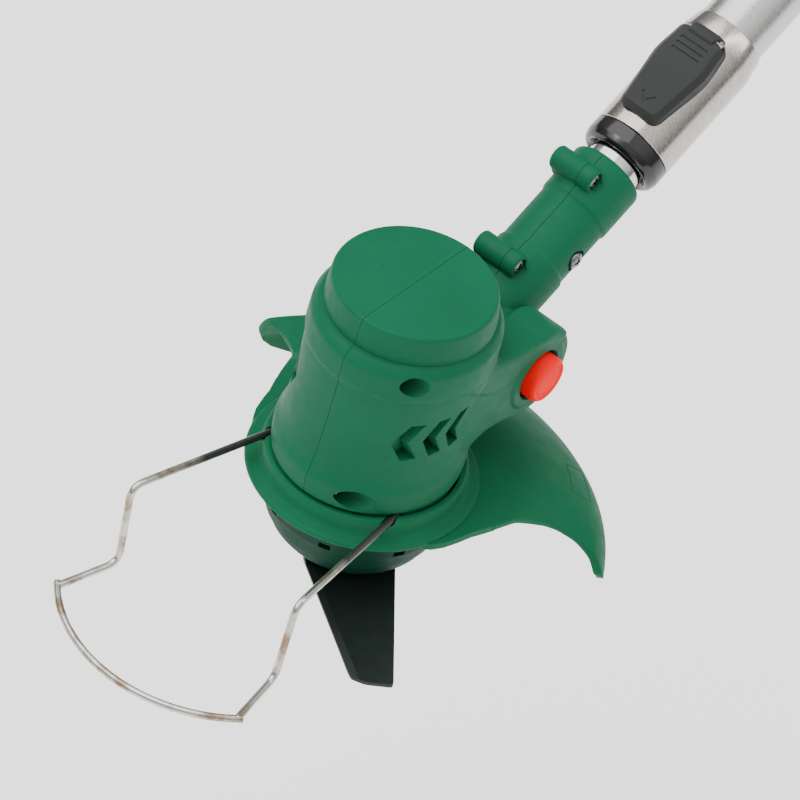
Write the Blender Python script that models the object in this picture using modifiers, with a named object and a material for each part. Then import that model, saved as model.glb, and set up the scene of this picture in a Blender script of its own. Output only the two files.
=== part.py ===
"""Cordless string trimmer with a telescopic pole, a tilting motor head and a steel blade.

Run with Blender 4.5:  blender --background --python part.py

Frame: +Z is the motor axis, pointing up. The blade lies flat in XY, the wire edge guard is in front
at -Y, and the pole climbs to the back, towards +Y. The origin is the centre of the blade nut's
lower face. Sizes below are in millimetres, and the builders turn them into metres.
"""
from math import cos, pi, radians, sin

import bmesh
import bpy
from mathutils import Matrix, Vector

MM = 0.001
GAP = 0.3                      # between pieces that touch
RUN = 0.08                     # radial clearance of a running fit

# Pole: a straight line through the tilt pin, in the plane x = 0. "s" is the distance along it from
# the pin, and "up" is the direction square to it, away from the ground.
PIN_Y, PIN_Z = 49.9, 77.0
POLE_ANGLE = 26.94             # degrees above the blade's plane
TUBE_R, TUBE_WALL = 10.9, 1.2  # inner tube
OUTER_R, OUTER_WALL = 13.5, 1.2
SLEEVE_R = 16.0
NECK_R = 14.3
NECK_END = 78.0
COLLAR_START, COLLAR_END = 82.0, 90.5
SLEEVE_END = 146.0
TUBE_START, TUBE_END = 26.0, 372.0
OUTER_START, OUTER_END = 98.0, 470.0

# Motor head
CAP_TOP = 125.0
CAP_R, CAP_Y = 30.9, 6.7
WALL = 2.4
SPIGOT_R = 29.6
EAR_IN, EAR_OUT = 15.2, 30.5   # each ear's span in x
EAR_R = 17.3
KNUCKLE_W = 14.7
PIN_R = 4.0
BUTTON_R, BUTTON_OUT = 9.0, 36.7
CAN_R, CAN_LOW, CAN_HIGH = 19.0, 57.0, 96.0
SHAFT_R = 2.5

# Guard, blade and edge guard
GUARD_T = 2.0
BLADE_TOP, BLADE_T = 8.5, 1.6
BLADE_REACH, BLADE_ROOT, BLADE_TIP = 78.3, 17.2, 7.4
BLADE_ANGLE = -43.4            # degrees from +X at rest
WIRE_R = 1.2

# Rear handle, along the pole
HANDLE_W = 17.0                # half of its thickness in x
TRIGGER_PIVOT_S, TRIGGER_PIVOT_UP = 469.5, -0.8
BATTERY_S = (592.0, 640.0)     # the pack's front and rear faces
AUX_S = 356.0

GREEN = (0.027, 0.21, 0.11)
DARK_GREEN = (0.016, 0.105, 0.06)
BLACK = (0.02, 0.021, 0.021)
GREY = (0.17, 0.17, 0.17)
STEEL = (0.62, 0.61, 0.6)
NICKEL = (0.62, 0.59, 0.56)
BLADE_STEEL = (0.012, 0.02, 0.017)
RED = (0.8, 0.01, 0.01)
COPPER = (0.72, 0.29, 0.12)

parts = None
cutters = None
finishes = {}


# ---------------------------------------------------------------- scene, materials and placing
def start_scene():
    """Empty the file and make the part's collection and the cutters' collection."""
    global parts, cutters
    for old in list(bpy.data.objects):
        bpy.data.objects.remove(old, do_unlink=True)
    parts = bpy.data.collections.new("string_trimmer")
    cutters = bpy.data.collections.new("cutters")
    for collection in (parts, cutters):
        bpy.context.scene.collection.children.link(collection)


def finish_of(name, colour, roughness, metallic):
    """One Principled material for each name."""
    if name not in finishes:
        material = bpy.data.materials.new(name)
        material.use_nodes = True
        shader = material.node_tree.nodes["Principled BSDF"]
        shader.inputs["Base Color"].default_value = (*colour, 1.0)
        shader.inputs["Roughness"].default_value = roughness
        shader.inputs["Metallic"].default_value = metallic
        material.diffuse_color = (*colour, 1.0)
        finishes[name] = material
    return finishes[name]


FINISHES = {
    "green": (GREEN, 0.55, 0.0),
    "dark_green": (DARK_GREEN, 0.6, 0.0),
    "black": (BLACK, 0.5, 0.0),
    "grey": (GREY, 0.6, 0.0),
    "steel": (STEEL, 0.3, 1.0),
    "nickel": (NICKEL, 0.32, 1.0),
    "blade": (BLADE_STEEL, 0.5, 0.6),
    "red": (RED, 0.4, 0.0),
    "copper": (COPPER, 0.35, 1.0),
}


def add_object(name, data, finish=None, parent=None, matrix=None):
    """Link an object; with a finish it is a part of the trimmer, without one it is a cutter."""
    obj = bpy.data.objects.new(name, data)
    if finish is None:
        cutters.objects.link(obj)
        obj.hide_render = True
        obj.display_type = "WIRE"
    else:
        parts.objects.link(obj)
        obj.data.materials.append(finish_of(finish, *FINISHES[finish]))
    if matrix is not None:
        obj.matrix_world = matrix
    if parent is not None:
        obj.parent = parent
        obj.matrix_parent_inverse = Matrix.Translation(-parent.location)
    return obj


def joint_empty(name, x, y, z, parent=None):
    """An empty on a joint's axis, which the pieces that move with that joint hang from."""
    empty = bpy.data.objects.new(name, None)
    empty.empty_display_size = 0.02
    parts.objects.link(empty)
    empty.location = Vector((x, y, z)) * MM
    if parent is not None:
        empty.parent = parent
        empty.matrix_parent_inverse = Matrix.Translation(-parent.matrix_world.translation)
    bpy.context.view_layer.update()
    return empty


def pole_matrix(s=0.0, up=0.0, x=0.0):
    """Local +Z along the pole, local -Y up, at the given place on the pole."""
    turn = Matrix.Rotation(radians(POLE_ANGLE - 90.0), 4, "X")
    return Matrix.Translation(pole_point(s, up, x)) @ turn


def pole_point(s, up=0.0, x=0.0):
    """A point given along and above the pole, in metres."""
    angle = radians(POLE_ANGLE)
    y = PIN_Y + s * cos(angle) - up * sin(angle)
    z = PIN_Z + s * sin(angle) + up * cos(angle)
    return Vector((x, y, z)) * MM


def at(x, y, z):
    return Matrix.Translation(Vector((x, y, z)) * MM)


def along_x(x, y, z):
    """Local +Z along world +X, at a point in millimetres."""
    return at(x, y, z) @ Matrix.Rotation(pi / 2, 4, "Y")


def pole_cross(s, up, x=0.0):
    """Local +Z along world +X, at a place on the pole."""
    return Matrix.Translation(pole_point(s, up, x)) @ Matrix.Rotation(pi / 2, 4, "Y")


# ---------------------------------------------------------------- shapes
def mesh_from(name, bm, smooth=True):
    mesh = bpy.data.meshes.new(name)
    bmesh.ops.recalc_face_normals(bm, faces=bm.faces)
    bm.to_mesh(mesh)
    bm.free()
    if smooth:
        mesh.shade_smooth()
        mesh.set_sharp_from_angle(angle=radians(35))
    return mesh


def turned(name, profile, finish=None, parent=None, matrix=None, steps=20, closed=False):
    """A profile of (radius, height) points, top to bottom on its outer side, spun about local Z."""
    mesh = bpy.data.meshes.new(name)
    points = [(r * MM, 0.0, z * MM) for r, z in profile]
    edges = [(i, i + 1) for i in range(len(points) - 1)]
    if closed:
        edges.append((len(points) - 1, 0))
    mesh.from_pydata(points, edges, [])
    obj = add_object(name, mesh, finish, parent, matrix)
    screw = obj.modifiers.new("turn", "SCREW")
    screw.angle = 2 * pi
    screw.steps = steps
    screw.render_steps = steps
    screw.use_merge_vertices = True
    screw.merge_threshold = 0.00001
    screw.use_smooth_shade = True
    return obj


def cylinder(name, radius, low, high, finish=None, parent=None, matrix=None, steps=20):
    profile = [(0, high), (radius, high), (radius, low), (0, low)]
    return turned(name, profile, finish, parent, matrix, steps)


def ring(name, outer, inner, low, high, finish=None, parent=None, matrix=None, steps=20):
    profile = [(inner, high), (outer, high), (outer, low), (inner, low)]
    return turned(name, profile, finish, parent, matrix, steps, closed=True)


def box(name, low, high, finish=None, parent=None, matrix=None, bevel=0.0):
    """A box between two corners in millimetres, in the frame of its matrix."""
    bm = bmesh.new()
    bmesh.ops.create_cube(bm, size=1.0)
    for vert in bm.verts:
        vert.co = Vector([(low[i] + high[i]) / 2 + vert.co[i] * (high[i] - low[i])
                          for i in range(3)]) * MM
    obj = add_object(name, mesh_from(name, bm, smooth=False), finish, parent, matrix)
    if bevel:
        round_edges(obj, bevel)
    return obj


def round_edges(obj, width, segments=2, angle=35.0):
    bevel = obj.modifiers.new("round", "BEVEL")
    bevel.width = width * MM
    bevel.segments = segments
    bevel.limit_method = "ANGLE"
    bevel.angle_limit = radians(angle)


def curve_to_mesh(name, curve, finish, parent, matrix):
    """Make a mesh object of a curve and weld its caps."""
    temporary = bpy.data.objects.new(name + "_curve", curve)
    bpy.context.scene.collection.objects.link(temporary)
    graph = bpy.context.evaluated_depsgraph_get()
    mesh = bpy.data.meshes.new_from_object(temporary.evaluated_get(graph))
    bpy.data.objects.remove(temporary, do_unlink=True)
    bm = bmesh.new()
    bm.from_mesh(mesh)
    bmesh.ops.remove_doubles(bm, verts=bm.verts, dist=0.00001)
    bpy.data.meshes.remove(mesh)
    mesh = mesh_from(name, bm)
    mesh.materials.clear()
    return add_object(name, mesh, finish, parent, matrix)


def plate(name, outlines, low, high, finish=None, parent=None, matrix=None):
    """Flat outlines in local XY, filled, with holes where they nest, between two local heights."""
    curve = bpy.data.curves.new(name, "CURVE")
    curve.dimensions = "2D"
    curve.fill_mode = "BOTH"
    curve.extrude = (high - low) / 2 * MM
    for outline in outlines:
        spline = curve.splines.new("POLY")
        spline.points.add(len(outline) - 1)
        for point, (x, y) in zip(spline.points, outline):
            point.co = (x * MM, y * MM, 0.0, 1.0)
        spline.use_cyclic_u = True
    middle = Matrix.Translation((0.0, 0.0, (low + high) / 2 * MM))
    return curve_to_mesh(name, curve, finish, parent, (matrix or Matrix.Identity(4)) @ middle)


def rod(name, points, radius, finish=None, parent=None, matrix=None, cyclic=False, resolution=2):
    """A round bar along a list of points in millimetres."""
    curve = bpy.data.curves.new(name, "CURVE")
    curve.dimensions = "3D"
    curve.bevel_depth = radius * MM
    curve.bevel_resolution = resolution
    curve.use_fill_caps = not cyclic
    spline = curve.splines.new("POLY")
    spline.points.add(len(points) - 1)
    for point, place in zip(spline.points, points):
        point.co = (*(Vector(place) * MM), 1.0)
    spline.use_cyclic_u = cyclic
    return curve_to_mesh(name, curve, finish, parent, matrix)


def loft(name, rings, finish=None, parent=None, matrix=None):
    """Skin a stack of rings with the same number of points, and close both ends."""
    bm = bmesh.new()
    rows = [[bm.verts.new(Vector(p) * MM) for p in points] for points in rings]
    count = len(rows[0])
    for lower, upper in zip(rows, rows[1:]):
        for i in range(count):
            j = (i + 1) % count
            bm.faces.new((lower[i], lower[j], upper[j], upper[i]))
    bm.faces.new(rows[0])
    bm.faces.new(rows[-1])
    return add_object(name, mesh_from(name, bm), finish, parent, matrix)


def arc(cx, cy, radius, start, end, count):
    """Points on a circle from one angle to another, in degrees."""
    angles = [radians(start + (end - start) * i / (count - 1)) for i in range(count)]
    return [(cx + radius * cos(a), cy + radius * sin(a)) for a in angles]


def rounded(points, radii, count=5):
    """A closed outline whose corners are arcs of the given radii."""
    outline = []
    total = len(points)
    for i in range(total):
        before, corner, after = (Vector(points[(i + k) % total]) for k in (-1, 0, 1))
        to_before = (before - corner).normalized()
        to_after = (after - corner).normalized()
        radius = radii[i] if isinstance(radii, (list, tuple)) else radii
        half = to_before.angle(to_after) / 2
        reach = radius / max(0.05, abs(sin(half) / cos(half)))
        start = corner + to_before * reach
        end = corner + to_after * reach
        for step in range(count):
            t = step / (count - 1)
            outline.append(tuple(start * (1 - t) ** 2 + corner * 2 * t * (1 - t) + end * t ** 2))
    return outline


def smooth_path(points, bend, count=5):
    """An open 3D path whose corners are rounded by curves of about the given bend radius."""
    path = [Vector(points[0])]
    for before, corner, after in zip(points, points[1:], points[2:]):
        before, corner, after = Vector(before), Vector(corner), Vector(after)
        to_before = (before - corner).normalized()
        to_after = (after - corner).normalized()
        half = to_before.angle(to_after) / 2
        reach = min(bend * cos(half) / sin(half), 0.45 * (before - corner).length,
                    0.45 * (after - corner).length)
        start = corner + to_before * reach
        end = corner + to_after * reach
        for step in range(count):
            t = step / (count - 1)
            path.append(start * (1 - t) ** 2 + corner * 2 * t * (1 - t) + end * t ** 2)
    path.append(Vector(points[-1]))
    return path


def helix(radius, low, high, turns, per_turn=10):
    count = int(turns * per_turn) + 1
    return [(radius * cos(2 * pi * i / per_turn), radius * sin(2 * pi * i / per_turn),
             low + (high - low) * i / (count - 1)) for i in range(count)]


def boolean(obj, others, operation):
    """One Boolean with all the given objects, then a Weld for the crumbs that it leaves."""
    modifier = obj.modifiers.new(operation.lower(), "BOOLEAN")
    modifier.operation = operation
    modifier.solver = "EXACT"
    if len(others) == 1:
        modifier.object = others[0]
    else:
        group = bpy.data.collections.new(f"{obj.name}_{operation.lower()}_{len(obj.modifiers)}")
        cutters.children.link(group)
        for other in others:
            cutters.objects.unlink(other)
            group.objects.link(other)
        modifier.operand_type = "COLLECTION"
        modifier.collection = group
    weld = obj.modifiers.new("weld", "WELD")
    weld.merge_threshold = 0.000002


def cut(obj, *others):
    boolean(obj, others, "DIFFERENCE")


def join(obj, *others):
    boolean(obj, others, "UNION")


def other_side_box(name, side):
    """A cutter that takes away everything on the far side of the parting plane x = 0."""
    near, far = 0.1, -260.0
    low, high = sorted((side * near, side * far))
    return box(name, (low, -200, -100), (high, 900, 700))


# ---------------------------------------------------------------- motor head
def body_rings(inset, low, high, count=26):
    """Rings of the head's casing: an ellipse whose centre moves back towards the cap."""
    stations = [
        # height, centre y, half width x, half depth y
        (45.8, 0.0, 33.4, 35.7), (48.0, 0.0, 34.3, 36.6), (55.0, 0.0, 34.4, 36.8),
        (60.9, 0.2, 33.3, 35.5), (65.5, 0.5, 32.3, 34.5), (76.0, 1.4, 31.0, 33.9),
        (91.0, 2.9, 32.6, 34.1), (98.5, 4.2, 34.0, 34.6), (100.4, 4.5, 34.9, 36.0),
        (112.5, 5.6, 33.4, 35.6), (115.2, 5.9, 32.2, 34.2), (116.3, 6.3, 31.1, 32.6),
        (123.6, 6.7, 30.5, 31.2), (125.0, 6.7, 29.0, 29.6),
    ]
    rings = []
    for height, centre, half_x, half_y in stations:
        if low <= height <= high:
            rings.append([((half_x - inset) * cos(2 * pi * i / count),
                           centre + (half_y - inset) * sin(2 * pi * i / count), height)
                          for i in range(count)])
    return rings


def flat_ring(radius_x, radius_y, centre, height, count=26):
    return [(radius_x * cos(2 * pi * i / count), centre + radius_y * sin(2 * pi * i / count), height)
            for i in range(count)]


def inset(outline, depth):
    """Pull each corner of a counter-clockwise or clockwise outline in by a depth."""
    turn = sum(x0 * y1 - x1 * y0 for (x0, y0), (x1, y1) in zip(outline, outline[1:] + outline[:1]))
    result = []
    for before, here, after in zip(outline[-1:] + outline[:-1], outline, outline[1:] + outline[:1]):
        along = ((Vector(here) - Vector(before)).normalized()
                 + (Vector(after) - Vector(here)).normalized()).normalized()
        inward = Vector((-along.y, along.x)) * (1 if turn > 0 else -1)
        result.append(tuple(Vector(here) + inward * depth))
    return result


def ear_outline():
    """The arm from the casing to the tilt pin, in (y, z)."""
    hood = arc(PIN_Y, PIN_Z, EAR_R, 98, -98, 12)
    under = [(38.0, 61.2), (30.0, 63.2), (22.0, 62.8), (15.5, 59.8), (12.0, 54.0), (9.0, 50.0)]
    return hood + under + [(-4.0, 50.0), (-4.0, 103.0), (12.0, 101.0), (30.0, 96.5)]


def yz_plate(name, outline, x_low, x_high, finish=None, parent=None):
    """An outline in (y, z), as thick as its span in x."""
    frame = Matrix(((0, 0, 1, 0), (1, 0, 0, 0), (0, 1, 0, 0), (0, 0, 0, 1)))
    return plate(name, [outline], x_low, x_high, finish, parent, frame)


def chevron(y, z):
    """An arrow-shaped air slot in (y, z), with its tip at y, pointing forward."""
    return [(y, z), (y + 4.8, z + 8.2), (y + 9.8, z + 8.2), (y + 4.9, z + 0.2), (y + 8.3, z - 7.4),
            (y + 3.2, z - 7.8)]


VENTS_Y = (-22.5, -12.6, -3.1)
VENT_Z = 80.1


def housing_half(side, parent):
    """One half of the head's casing; side is +1 for the button's side."""
    name = "housing_right" if side > 0 else "housing_left"
    rings = [flat_ring(SPIGOT_R, SPIGOT_R, 0, 35.0), flat_ring(SPIGOT_R, SPIGOT_R, 0, 41.5),
             flat_ring(32.6, 33.6, 0, 41.6), flat_ring(32.6, 33.6, 0, 45.7)]
    shell = loft(name, rings + body_rings(0.0, 45.0, 126.0), "green", parent)
    layers = ((EAR_IN, 0.0), (EAR_OUT - 2.6, 0.0), (EAR_OUT - 0.8, 0.7), (EAR_OUT, 2.4))
    arm = loft(name + "_arm", [[(side * x, y, z) for y, z in inset(ear_outline(), depth)]
                               for x, depth in layers])
    join(shell, arm)

    axis = along_x(0, PIN_Y, PIN_Z)
    rooms = [
        loft(name + "_lower_room", [flat_ring(27.0, 27.0, 0, 34.0), flat_ring(27.0, 27.0, 0, 47.0)]
             + body_rings(WALL, 54.0, 61.0)),
        cylinder(name + "_motor_seat", CAN_R + GAP, 56.0, 78.0, steps=20),
        loft(name + "_upper_room", body_rings(WALL + 0.4, 76.0, 99.0) + body_rings(WALL + 1.4, 112.0, 113.0)
             + [flat_ring(CAP_R - 3.2, CAP_R - 2.8, CAP_Y, CAP_TOP - 3.0)]),
        cylinder(name + "_neck_slot", NECK_R + 1.1, -EAR_IN - 0.1, EAR_IN + 0.1, matrix=axis, steps=20),
        cylinder(name + "_recess", 10.5, *sorted((side * 23.7, side * 33.0)), matrix=axis, steps=16),
        cylinder(name + "_pin_hole", 8.8 if side > 0 else PIN_R + GAP,
                 *sorted((side * 13.0, side * 25.0)), matrix=axis, steps=16),
        other_side_box(name + "_parting", side)]
    cut(shell, *rooms)

    posts = []
    holes = [rod(f"{name}_wire_hole", list(wire_entry(side)), WIRE_R + GAP)]
    for label, y, z, wall_x in HOUSING_SCREWS:
        place = along_x(0, y, z)
        posts.append(cylinder(f"{name}_post_{label}", 5.2, *sorted((side * 0.4, side * wall_x)),
                              matrix=place, steps=12))
        holes.append(cylinder(f"{name}_bolt_{label}", 1.8, -12.0, 20.0, matrix=place, steps=10))
        if side > 0:
            holes.append(cylinder(f"{name}_bolt_seat_{label}", 4.0, HOUSING_SEAT, 60.0, matrix=place,
                                  steps=16))
    for i, angle in enumerate(BOWL_SCREWS):
        if side * cos(radians(angle)) > 0:
            place = bowl_screw_place(angle)
            posts.append(cylinder(f"{name}_foot_{i}", 3.4, 35.3, 52.0, matrix=place, steps=12))
            holes.append(cylinder(f"{name}_foot_hole_{i}", 1.8, 30.0, 48.0, matrix=place, steps=10))
    for i, y in enumerate(VENTS_Y):
        holes.append(yz_plate(f"{name}_vent_{i}", chevron(y, VENT_Z), *sorted((side * 20.0, side * 44.0))))
    join(shell, *posts)
    cut(shell, *holes)
    return shell


# The screws that hold the two halves together: name, y, z and how far out the wall is there.
HOUSING_SCREWS = (("upper", -19.5, 107.0, 26.0), ("lower", -30.4, 54.6, 17.0))
HOUSING_SEAT = 9.0


def wire_entry(side):
    """Where the edge guard's wire goes through the casing, as two points on its line."""
    direction = Vector((9.6 * side, -66.2, 7.1)).normalized()
    outside = Vector((28.4 * side, -19.7, 46.5))
    return tuple(outside - direction * 13.0), tuple(outside + direction * 12.0)


def pan_screw(name, finish, parent, matrix, head_r=3.1, head_h=2.2, shank_r=1.5, length=12.0):
    """A pan-head screw whose head's top is at local z = 0."""
    profile = [(0, 0), (head_r * 0.7, 0), (head_r, -1.0), (head_r, -head_h), (shank_r, -head_h),
               (shank_r, -length), (0, -length)]
    return turned(name, profile, finish, parent, matrix, steps=10)


def motor(head, rotor):
    wall = 1.4
    can = [(CAN_R, CAN_HIGH), (CAN_R, CAN_LOW + 1), (CAN_R - 1, CAN_LOW), (4.3, CAN_LOW),
           (4.3, CAN_LOW + wall), (CAN_R - wall, CAN_LOW + wall), (CAN_R - wall, CAN_HIGH)]
    turned("motor_can", can, "steel", head, closed=True)
    ring("lower_bushing", 4.0, SHAFT_R + RUN, CAN_LOW - 1.5, CAN_LOW + 3.5, "copper", head, steps=16)
    cap = [(4.3, CAN_HIGH + 4.2), (CAN_R - 0.8, CAN_HIGH + 4.2), (CAN_R, CAN_HIGH + 3.2),
           (CAN_R, CAN_HIGH + GAP), (4.3, CAN_HIGH + GAP)]
    turned("motor_end_cap", cap, "black", head, closed=True)
    ring("upper_bushing", 4.0, SHAFT_R + RUN, CAN_HIGH + 0.2, CAN_HIGH + 5.2, "copper", head, steps=16)
    for side, name in ((1, "magnet_right"), (-1, "magnet_left")):
        outline = arc(0, 0, CAN_R - wall - GAP, -62, 62, 13) + arc(0, 0, 13.6, 62, -62, 13)
        outline = [(side * x, y) for x, y in outline]
        plate(name, [outline], 61.0, 90.0, "grey", head)
    for side, name in ((1, "brush_right"), (-1, "brush_left")):
        low, high = sorted((side * 5.0, side * 12.0))
        box(name, (low, -1.8, 89.5), (high, 1.8, 94.0), "grey", head)
    cylinder("motor_shaft", SHAFT_R, 3.2, CAN_HIGH + 4.8, "steel", rotor, steps=16)
    core = [(SHAFT_R + GAP, 94.5), (4.6, 94.5), (4.6, 87.2), (7.5, 86.5), (8.0, 85.5), (12.4, 84.0),
            (12.4, 67.0), (8.0, 65.5), (SHAFT_R + GAP, 64.0)]
    turned("armature", core, "copper", rotor, closed=True)


def cooling_fan(rotor):
    """A hub with flat paddles on the shaft, just under the motor."""
    fan = ring("cooling_fan", 6.0, SHAFT_R + GAP, 46.6, 55.2, "black", rotor, steps=16)
    disc = ring("cooling_fan_disc", 21.0, 4.4, 47.1, 48.6, steps=24)
    paddles = [box(f"cooling_fan_paddle_{i}", (5.0, -0.8, 47.8), (20.0, 0.8, 54.6),
                   matrix=Matrix.Rotation((i + 0.37) * pi / 3, 4, "Z")) for i in range(6)]
    join(fan, disc, *paddles)


def lower_bowl(head):
    """The bowl that closes the casing from below and clamps the guard."""
    outer = [(35.6, 37.3), (34.8, 31.8), (33.4, 31.1), (32.2, 25.0), (28.6, 15.0), (26.2, 11.0),
             (24.6, 10.2), (8.0, 10.2)]
    inner = [(8.0, 12.4), (23.8, 12.4), (29.6, 24.0), (31.2, 33.0), (31.2, 37.3)]
    bowl = turned("lower_bowl", outer + inner, "dark_green", head, closed=True)
    posts = []
    holes = []
    for i, angle in enumerate(BOWL_SCREWS):
        place = bowl_screw_place(angle)
        posts.append(cylinder(f"lower_bowl_post_{i}", 3.9, 11.6, 34.6, matrix=place, steps=12))
        holes.append(cylinder(f"lower_bowl_hole_{i}", 1.8, 8.0, 40.0, matrix=place, steps=10))
        holes.append(cylinder(f"lower_bowl_seat_{i}", 3.1, 5.0, 16.0, matrix=place, steps=12))
        under = place @ at(0, 0, 14.1) @ Matrix.Rotation(pi, 4, "X")
        pan_screw(f"bowl_screw_{i + 1}", "steel", head, under, head_r=2.7, head_h=1.6, length=30.0)
    join(bowl, *posts)
    cut(bowl, *holes)
    return bowl


BOWL_SCREWS = (0.0, 180.0)


def bowl_screw_place(angle):
    """Local +Z up, on the ring of screws under the bowl."""
    return Matrix.Rotation(radians(angle), 4, "Z") @ at(25.4, 0, 0)


# ---------------------------------------------------------------- guard, blade, edge guard
def between(table, value):
    """Read a value between the entries of a short table."""
    if value <= table[0][0]:
        return table[0][1]
    for (a, low), (b, high) in zip(table, table[1:]):
        if value <= b:
            t = (value - a) / (b - a)
            return low + (high - low) * t
    return table[-1][1]


# The guard's upper surface against its radius, and how far round from +Y it reaches there.
GUARD_HEIGHT = ((40.0, 38.9), (50.0, 38.7), (57.0, 38.2), (63.0, 36.9), (69.0, 34.6), (75.0, 31.6),
                (81.0, 28.0), (86.0, 24.5), (90.0, 20.9), (92.4, 17.6), (93.3, 15.4))
GUARD_REACH = ((40.0, 112.0), (43.5, 106.0), (45.0, 98.0), (47.0, 85.0), (51.4, 75.7), (57.0, 68.5),
               (62.3, 63.6), (68.0, 59.6), (73.1, 57.8), (80.0, 57.6), (87.0, 59.2), (93.3, 61.6))


# How much higher the left wing's end stands, against the radius.
GUARD_LIFT = ((40.0, 0.0), (66.0, 0.0), (73.0, 3.2), (80.0, 6.6), (87.0, 7.4), (93.3, 5.4))


def guard_point(radius, share):
    """A point of the guard's upper surface; share runs from -1 to 1 across the fan."""
    angle = radians(between(GUARD_REACH, radius) * share)
    sag = 3.5 * share ** 8 * max(0.0, 1 - ((radius - 73.0) / 15.0) ** 2)
    lift = max(0.0, -share) ** 3 * between(GUARD_LIFT, radius)
    return radius * sin(angle), radius * cos(angle), between(GUARD_HEIGHT, radius) - sag + lift


def guard(head):
    """The flange round the casing, with a drooping fan behind it."""
    profile = [(30.0, 41.2), (36.0, 41.2), (36.5, 40.6), (40.8, 40.4), (42.1, 39.9), (42.6, 39.2),
               (42.6, 38.4), (42.0, 37.6), (30.0, 37.6)]
    flange = turned("guard", profile, "green", head, steps=24, closed=True)
    radii = (40.5, 44.0, 47.0, 52.0, 60.0, 70.0, 78.0, 85.0, 90.0, 93.3)
    columns = 14
    bm = bmesh.new()
    layers = []
    for drop in (0.0, GUARD_T):
        grid = []
        for radius in radii:
            row = []
            for j in range(columns + 1):
                share = -1 + 2 * j / columns
                x, y, z = guard_point(radius, share)
                inward = drop * 0.75 * (radius > 80) * (radius - 80) / 13.3
                pull = 1 - inward / radius
                row.append(bm.verts.new(Vector((x * pull, y * pull, z - drop * (1 - 0.35 * (radius > 88))))
                                        * MM))
            grid.append(row)
        layers.append(grid)
    top, bottom = layers
    rows = len(radii)
    for i in range(rows - 1):
        for j in range(columns):
            bm.faces.new((top[i][j], top[i][j + 1], top[i + 1][j + 1], top[i + 1][j]))
            bm.faces.new((bottom[i][j], bottom[i + 1][j], bottom[i + 1][j + 1], bottom[i][j + 1]))
        for j in (0, columns):
            bm.faces.new((top[i][j], top[i + 1][j], bottom[i + 1][j], bottom[i][j]))
    for i in (0, rows - 1):
        for j in range(columns):
            bm.faces.new((top[i][j], bottom[i][j], bottom[i][j + 1], top[i][j + 1]))
    fan = add_object("guard_fan", mesh_from("guard_fan", bm))
    join(flange, fan)
    return flange


def blade_outline():
    """Two tapering wings; each tip has one rounded and one sharp corner."""
    wing = [(16.5, -BLADE_ROOT - 0.6), (72.1, -BLADE_TIP - 0.7), (75.2, -BLADE_TIP + 0.2),
            (77.4, -BLADE_TIP + 5.0), (BLADE_REACH, BLADE_TIP), (17.5, BLADE_ROOT - 1.6)]
    return wing + [(-u, -v) for u, v in wing]


def cutting_set(rotor):
    turn = Matrix.Rotation(radians(BLADE_ANGLE), 4, "Z")
    hole = arc(0, 0, SHAFT_R + GAP, 0, 345, 24)
    plate("blade", [blade_outline(), hole], BLADE_TOP - BLADE_T, BLADE_TOP, "blade", rotor, turn)
    hub = [(SHAFT_R + GAP, 30.0), (6.0, 30.0), (6.6, 12.8), (6.6, 10.0), (13.0, 9.6),
           (13.0, BLADE_TOP + GAP), (SHAFT_R + GAP, BLADE_TOP + GAP)]
    turned("blade_hub", hub, "black", rotor, closed=True)
    ring("blade_washer", 9.0, SHAFT_R + GAP, 5.6, 6.6, "steel", rotor, steps=20)
    nut = plate("blade_nut", [arc(0, 0, 6.9, 0, 300, 6)], 0.0, 5.3, "steel", rotor)
    cut(nut, cylinder("blade_nut_thread", SHAFT_R + GAP, 2.8, 8.0, steps=16))


def edge_guard(head):
    """The bent wire in front of the blade, one length of spring steel."""
    start = Vector(wire_entry(1)[0])
    start = start.lerp(Vector((28.4, -19.7, 46.5)), 0.3)
    front = [(x, y, 19.2) for x, y in arc(0, -75.3, 56.5, -40, -90, 9)]
    half = [tuple(start), (38.0, -85.9, 53.6), (36.6, -86.3, 17.8), (41.9, -113.4, 19.3)]
    bent = smooth_path(half + front[:1], 5.5)[:-1]
    right = [tuple(p) for p in bent] + front
    left = [(-x, y, z) for x, y, z in reversed(right[:-1])]
    return rod("wire_guard", right + left, WIRE_R, "steel", head, resolution=1)


# ---------------------------------------------------------------- tilt joint and neck
def tilt_parts(head, neck, button):
    pin = [(0, 14.9), (PIN_R, 14.9), (PIN_R, -24.2), (9.6, -24.2), (9.6, -29.4), (8.8, -30.2), (0, -30.2)]
    turned("tilt_pin", pin, "steel", head, along_x(0, PIN_Y, PIN_Z), steps=20)
    knob = [(0, BUTTON_OUT - 0.5), (6.6, BUTTON_OUT - 0.3), (7.4, BUTTON_OUT), (8.4, BUTTON_OUT - 0.3),
            (BUTTON_R, BUTTON_OUT - 1.2), (BUTTON_R, 27.0), (7.4, 27.0), (7.4, 34.0), (3.4, 34.0),
            (3.4, 24.0), (0, 24.0)]
    turned("tilt_button", knob, "red", button, along_x(0, PIN_Y, PIN_Z), steps=20)
    gear = []
    teeth = 12
    for i in range(teeth):
        for offset, radius in ((-0.3, 7.2), (-0.16, 8.4), (0.16, 8.4), (0.3, 7.2)):
            angle = 2 * pi * (i + offset) / teeth
            gear.append((radius * cos(angle), radius * sin(angle)))
    plate("tilt_lock_gear", [gear], 18.0, 23.6, "steel", button, along_x(0, PIN_Y, PIN_Z))
    rod("tilt_spring", helix(5.6, 7.3, 14.2, 4.5, 8), 0.45, "steel", neck,
        along_x(0, PIN_Y, PIN_Z), resolution=0)


BOSSES = (("lower", 23.7, 15.4), ("upper", 66.3, 15.4))
BOSS_R = 4.7
BOSS_RIGHT, BOSS_LEFT = 5.6, -13.2
SIDE_SCREW_S = 43.0


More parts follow.
